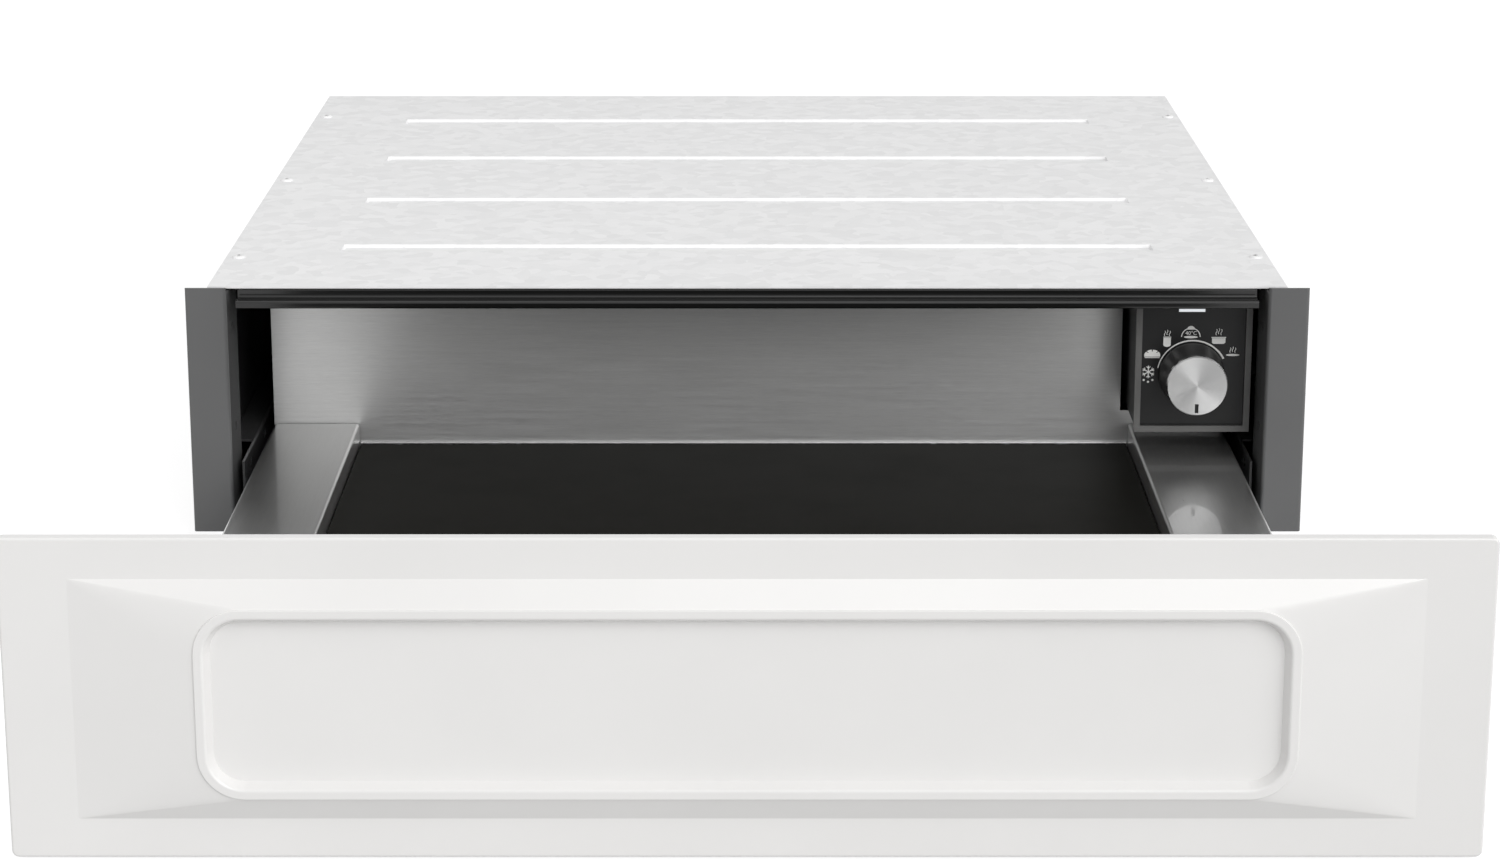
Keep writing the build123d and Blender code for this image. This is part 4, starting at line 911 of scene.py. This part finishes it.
class WARMER_OT_casing(bpy.types.Operator):
    """Finishes the casing's sheets"""

    bl_idname = "warmer.casing"
    bl_label = "Casing"

    def execute(self, context):
        _, finish, _ = settings(context)
        wear(
            ["base_plate", "back_panel", "rear_partition", "blower_housing"],
            galvanised_finish("galvanised_steel", (0.74, 0.75, 0.76, 1), darkest=0.88),
        )
        wear(["top_cover"], galvanised_finish(
            "pale_galvanised", (0.955, 0.955, 0.957, 1),
            darkest=0.955, roughness=0.8, metallic=0.0, Specular_IOR_Level=0.02,
        ))
        wear(["left_front_flange", "right_front_flange"], flange_finish(finish.casing_paint[:]))
        wear(["top_front_rail"], coat_finish(
            "rail_paint", finish.rail_paint[:], 0.4,
            Specular_IOR_Level=0.0, Coat_Weight=1.0, Coat_Roughness=0.12,
        ))
        wear(
            ["left_side_panel", "right_side_panel", "left_runner_bracket", "right_runner_bracket"],
            coat_finish("black_paint", finish.inner_paint[:], 0.45),
        )
        return {"FINISHED"}


class WARMER_OT_drawer(bpy.types.Operator):
    """Finishes the drawer's steel and glass"""

    bl_idname = "warmer.drawer"
    bl_label = "Drawer inside"

    def execute(self, context):
        _, finish, _ = settings(context)
        wear(["drawer_back_wall"], brushed_finish(
            "stainless_across", (0.70, 0.70, 0.695, 1), 0.42, ACROSS,
            relief=0.005 * MM, Anisotropic=0.5, Anisotropic_Rotation=0.25,
        ))
        wear(["left_ledge", "right_ledge"], brushed_finish(
            "stainless_along", finish.steel[:], 0.33, ALONG,
            relief=0.0003 * MM, metallic=0.92, Coat_Weight=0.7, Coat_Roughness=0.03,
        ))
        wear(["glass_rear_trim"], brushed_finish(
            "stainless_trim", (0.7, 0.7, 0.7, 1), 0.25, ACROSS, Anisotropic=0.3,
        ))
        wear(["glass_base"], glass_finish())
        return {"FINISHED"}


class WARMER_OT_runners(bpy.types.Operator):
    """Finishes the runners and their rollers"""

    bl_idname = "warmer.runners"
    bl_label = "Runners"

    def execute(self, context):
        zinc = brushed_finish(
            "zinc_runner", (0.52, 0.53, 0.55, 1), 0.34, ALONG, lines=1500.0, Anisotropic=0.3,
        )
        rollers = plastic_finish("roller_plastic", (0.70, 0.69, 0.65, 1))
        for side in ("left", "right"):
            wear([f"{side}_{rail}_rail" for rail in ("fixed", "mid", "drawer")], zinc)
            wear([f"{side}_roller_strips"], rollers)
        return {"FINISHED"}


class WARMER_OT_control(bpy.types.Operator):
    """Finishes the control box and the knob"""

    bl_idname = "warmer.control"
    bl_label = "Control box and knob"

    def execute(self, context):
        black = plastic_finish(
            "black_plastic", (0.010, 0.010, 0.0105, 1), 0.36, Specular_IOR_Level=0.32,
        )
        grey = plastic_finish("grey_plastic", (0.135, 0.134, 0.131, 1), 0.34)
        wear(
            ["control_housing", "control_fascia", "rotary_switch", "wiring_duct", "knob_index",
             "terminal_block", "cable_gland", "latch_body"],
            black,
        )
        wear(["knob_skirt"], plastic_finish("skirt_plastic", (0.04, 0.04, 0.04, 1), 0.4))
        wear(["control_frame", "latch_plunger"], grey)
        wear(["lamp_lens"], lens_finish())
        wear(["knob_cap"], spun_finish())
        wear(["knob_shaft"], metal_finish("shaft_steel", (0.55, 0.55, 0.57, 1), 0.3))
        return {"FINISHED"}


class WARMER_OT_dial(bpy.types.Operator):
    """Prints the scale and its pictures on the fascia"""

    bl_idname = "warmer.dial"
    bl_label = "Dial print"

    def execute(self, context):
        _, finish, dial = settings(context)
        ink = DialInk(dial)
        ink.arc(
            (KNOB_X, KNOB_Z), dial.scale_radius, *SCALE_ENDS, dial.scale_line,
            steps=dial.arc_steps, swell=dial.scale_swell,
        )
        for draw, across, up in PICTURES:
            draw(ink, KNOB_X + across * MM, KNOB_Z + up * MM)
        material = plastic_finish("dial_ink", finish.print_ink[:], 0.5)
        finish_piece("dial_print", ink.lay(), material, "cabinet")
        return {"FINISHED"}


class WARMER_OT_rear(bpy.types.Operator):
    """Finishes the blower, the heater and the small parts behind the partition"""

    bl_idname = "warmer.rear"
    bl_label = "Rear compartment"

    def execute(self, context):
        wear(["blower_rotor"], metal_finish("rotor_aluminium", (0.72, 0.73, 0.74, 1), 0.35))
        motor = metal_finish("motor_steel", (0.24, 0.24, 0.26, 1), 0.45, metallic=0.8)
        wear(["blower_motor"], motor)
        wear(["heater_element"], metal_finish("heater_steel", (0.25, 0.26, 0.25, 1), 0.5))
        brass = metal_finish("sensor_brass", (0.72, 0.56, 0.27, 1), 0.3)
        wear(["safety_cutout", "air_sensor"], brass)
        return {"FINISHED"}


class WARMER_OT_screws(bpy.types.Operator):
    """Makes the screws with their cross recesses"""

    bl_idname = "warmer.screws"
    bl_label = "Screws"

    def execute(self, context):
        zinc = metal_finish("screw_steel", (0.60, 0.60, 0.62, 1), 0.32)
        bright = metal_finish("bright_screw_steel", (0.9, 0.9, 0.9, 1), 0.45, metallic=0.2)
        for node, body, steel in (
            ("cover_screws", "cabinet", bright), ("flange_screws", "cabinet", zinc),
            ("runner_screws", "cabinet", zinc), ("drawer_rail_screws", "drawer", zinc),
            ("front_screws", "drawer", zinc),
        ):
            wear([node], steel)
            work = ScrewMaker(node).make()
            piece = finish_piece(f"{node}_crossed", work, steel, body)
            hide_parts(node)
        return {"FINISHED"}


class WARMER_OT_stage(bpy.types.Operator):
    """Sets the floor, the surrounding light, the lamps and the camera"""

    bl_idname = "warmer.stage"
    bl_label = "Stage"

    def execute(self, context):
        stage, _, _ = settings(context)
        context.scene.view_settings.view_transform = "Standard"
        make_world(stage.world_light)
        make_floor(stage.floor_white)
        make_key(stage.key_light)
        make_lamp(
            "front_lamp", stage.front_light,
            size=(1.6, 0.9), place=(0.7, -2.4, 1.6), aim=(0, -0.3, 0.07),
        )
        make_lamp(
            "left_lamp", stage.left_light,
            size=(0.5, 0.5), place=(-0.95, -1.2, 0.9), aim=(-0.1, -0.1, 0.08),
        )
        make_camera(stage)
        return {"FINISHED"}


OPERATORS = (
    WARMER_OT_groups,
    WARMER_OT_stage,
    WARMER_OT_front,
    WARMER_OT_casing,
    WARMER_OT_drawer,
    WARMER_OT_runners,
    WARMER_OT_control,
    WARMER_OT_dial,
    WARMER_OT_rear,
    WARMER_OT_screws,
)


class WARMER_PT_panel(bpy.types.Panel):
    """Buttons for each piece of the warming drawer"""

    bl_label = "Warming Drawer"
    bl_idname = "WARMER_PT_panel"
    bl_space_type = "VIEW_3D"
    bl_region_type = "UI"
    bl_category = "Warming Drawer"

    def draw(self, context):
        for operator in OPERATORS:
            self.layout.operator(operator.bl_idname)
        for group in settings(context):
            box = self.layout.box()
            for name in group.bl_rna.properties.keys():
                if name not in ("rna_type", "name"):
                    box.prop(group, name)


CLASSES = (
    WarmerStageSettings, WarmerFinishSettings, WarmerDialSettings, *OPERATORS, WARMER_PT_panel,
)


def register():
    for cls in CLASSES:
        bpy.utils.register_class(cls)
    bpy.types.Scene.warmer_stage = PointerProperty(type=WarmerStageSettings)
    bpy.types.Scene.warmer_finish = PointerProperty(type=WarmerFinishSettings)
    bpy.types.Scene.warmer_dial = PointerProperty(type=WarmerDialSettings)


def unregister():
    del bpy.types.Scene.warmer_stage
    del bpy.types.Scene.warmer_finish
    del bpy.types.Scene.warmer_dial
    for cls in reversed(CLASSES):
        bpy.utils.unregister_class(cls)


def main():
    """Builds everything on the frame."""
    register()
    for operator in OPERATORS:
        group, name = operator.bl_idname.split(".")
        getattr(getattr(bpy.ops, group), name)()
    bpy.context.view_layer.update()


if __name__ == "__main__":
    main()
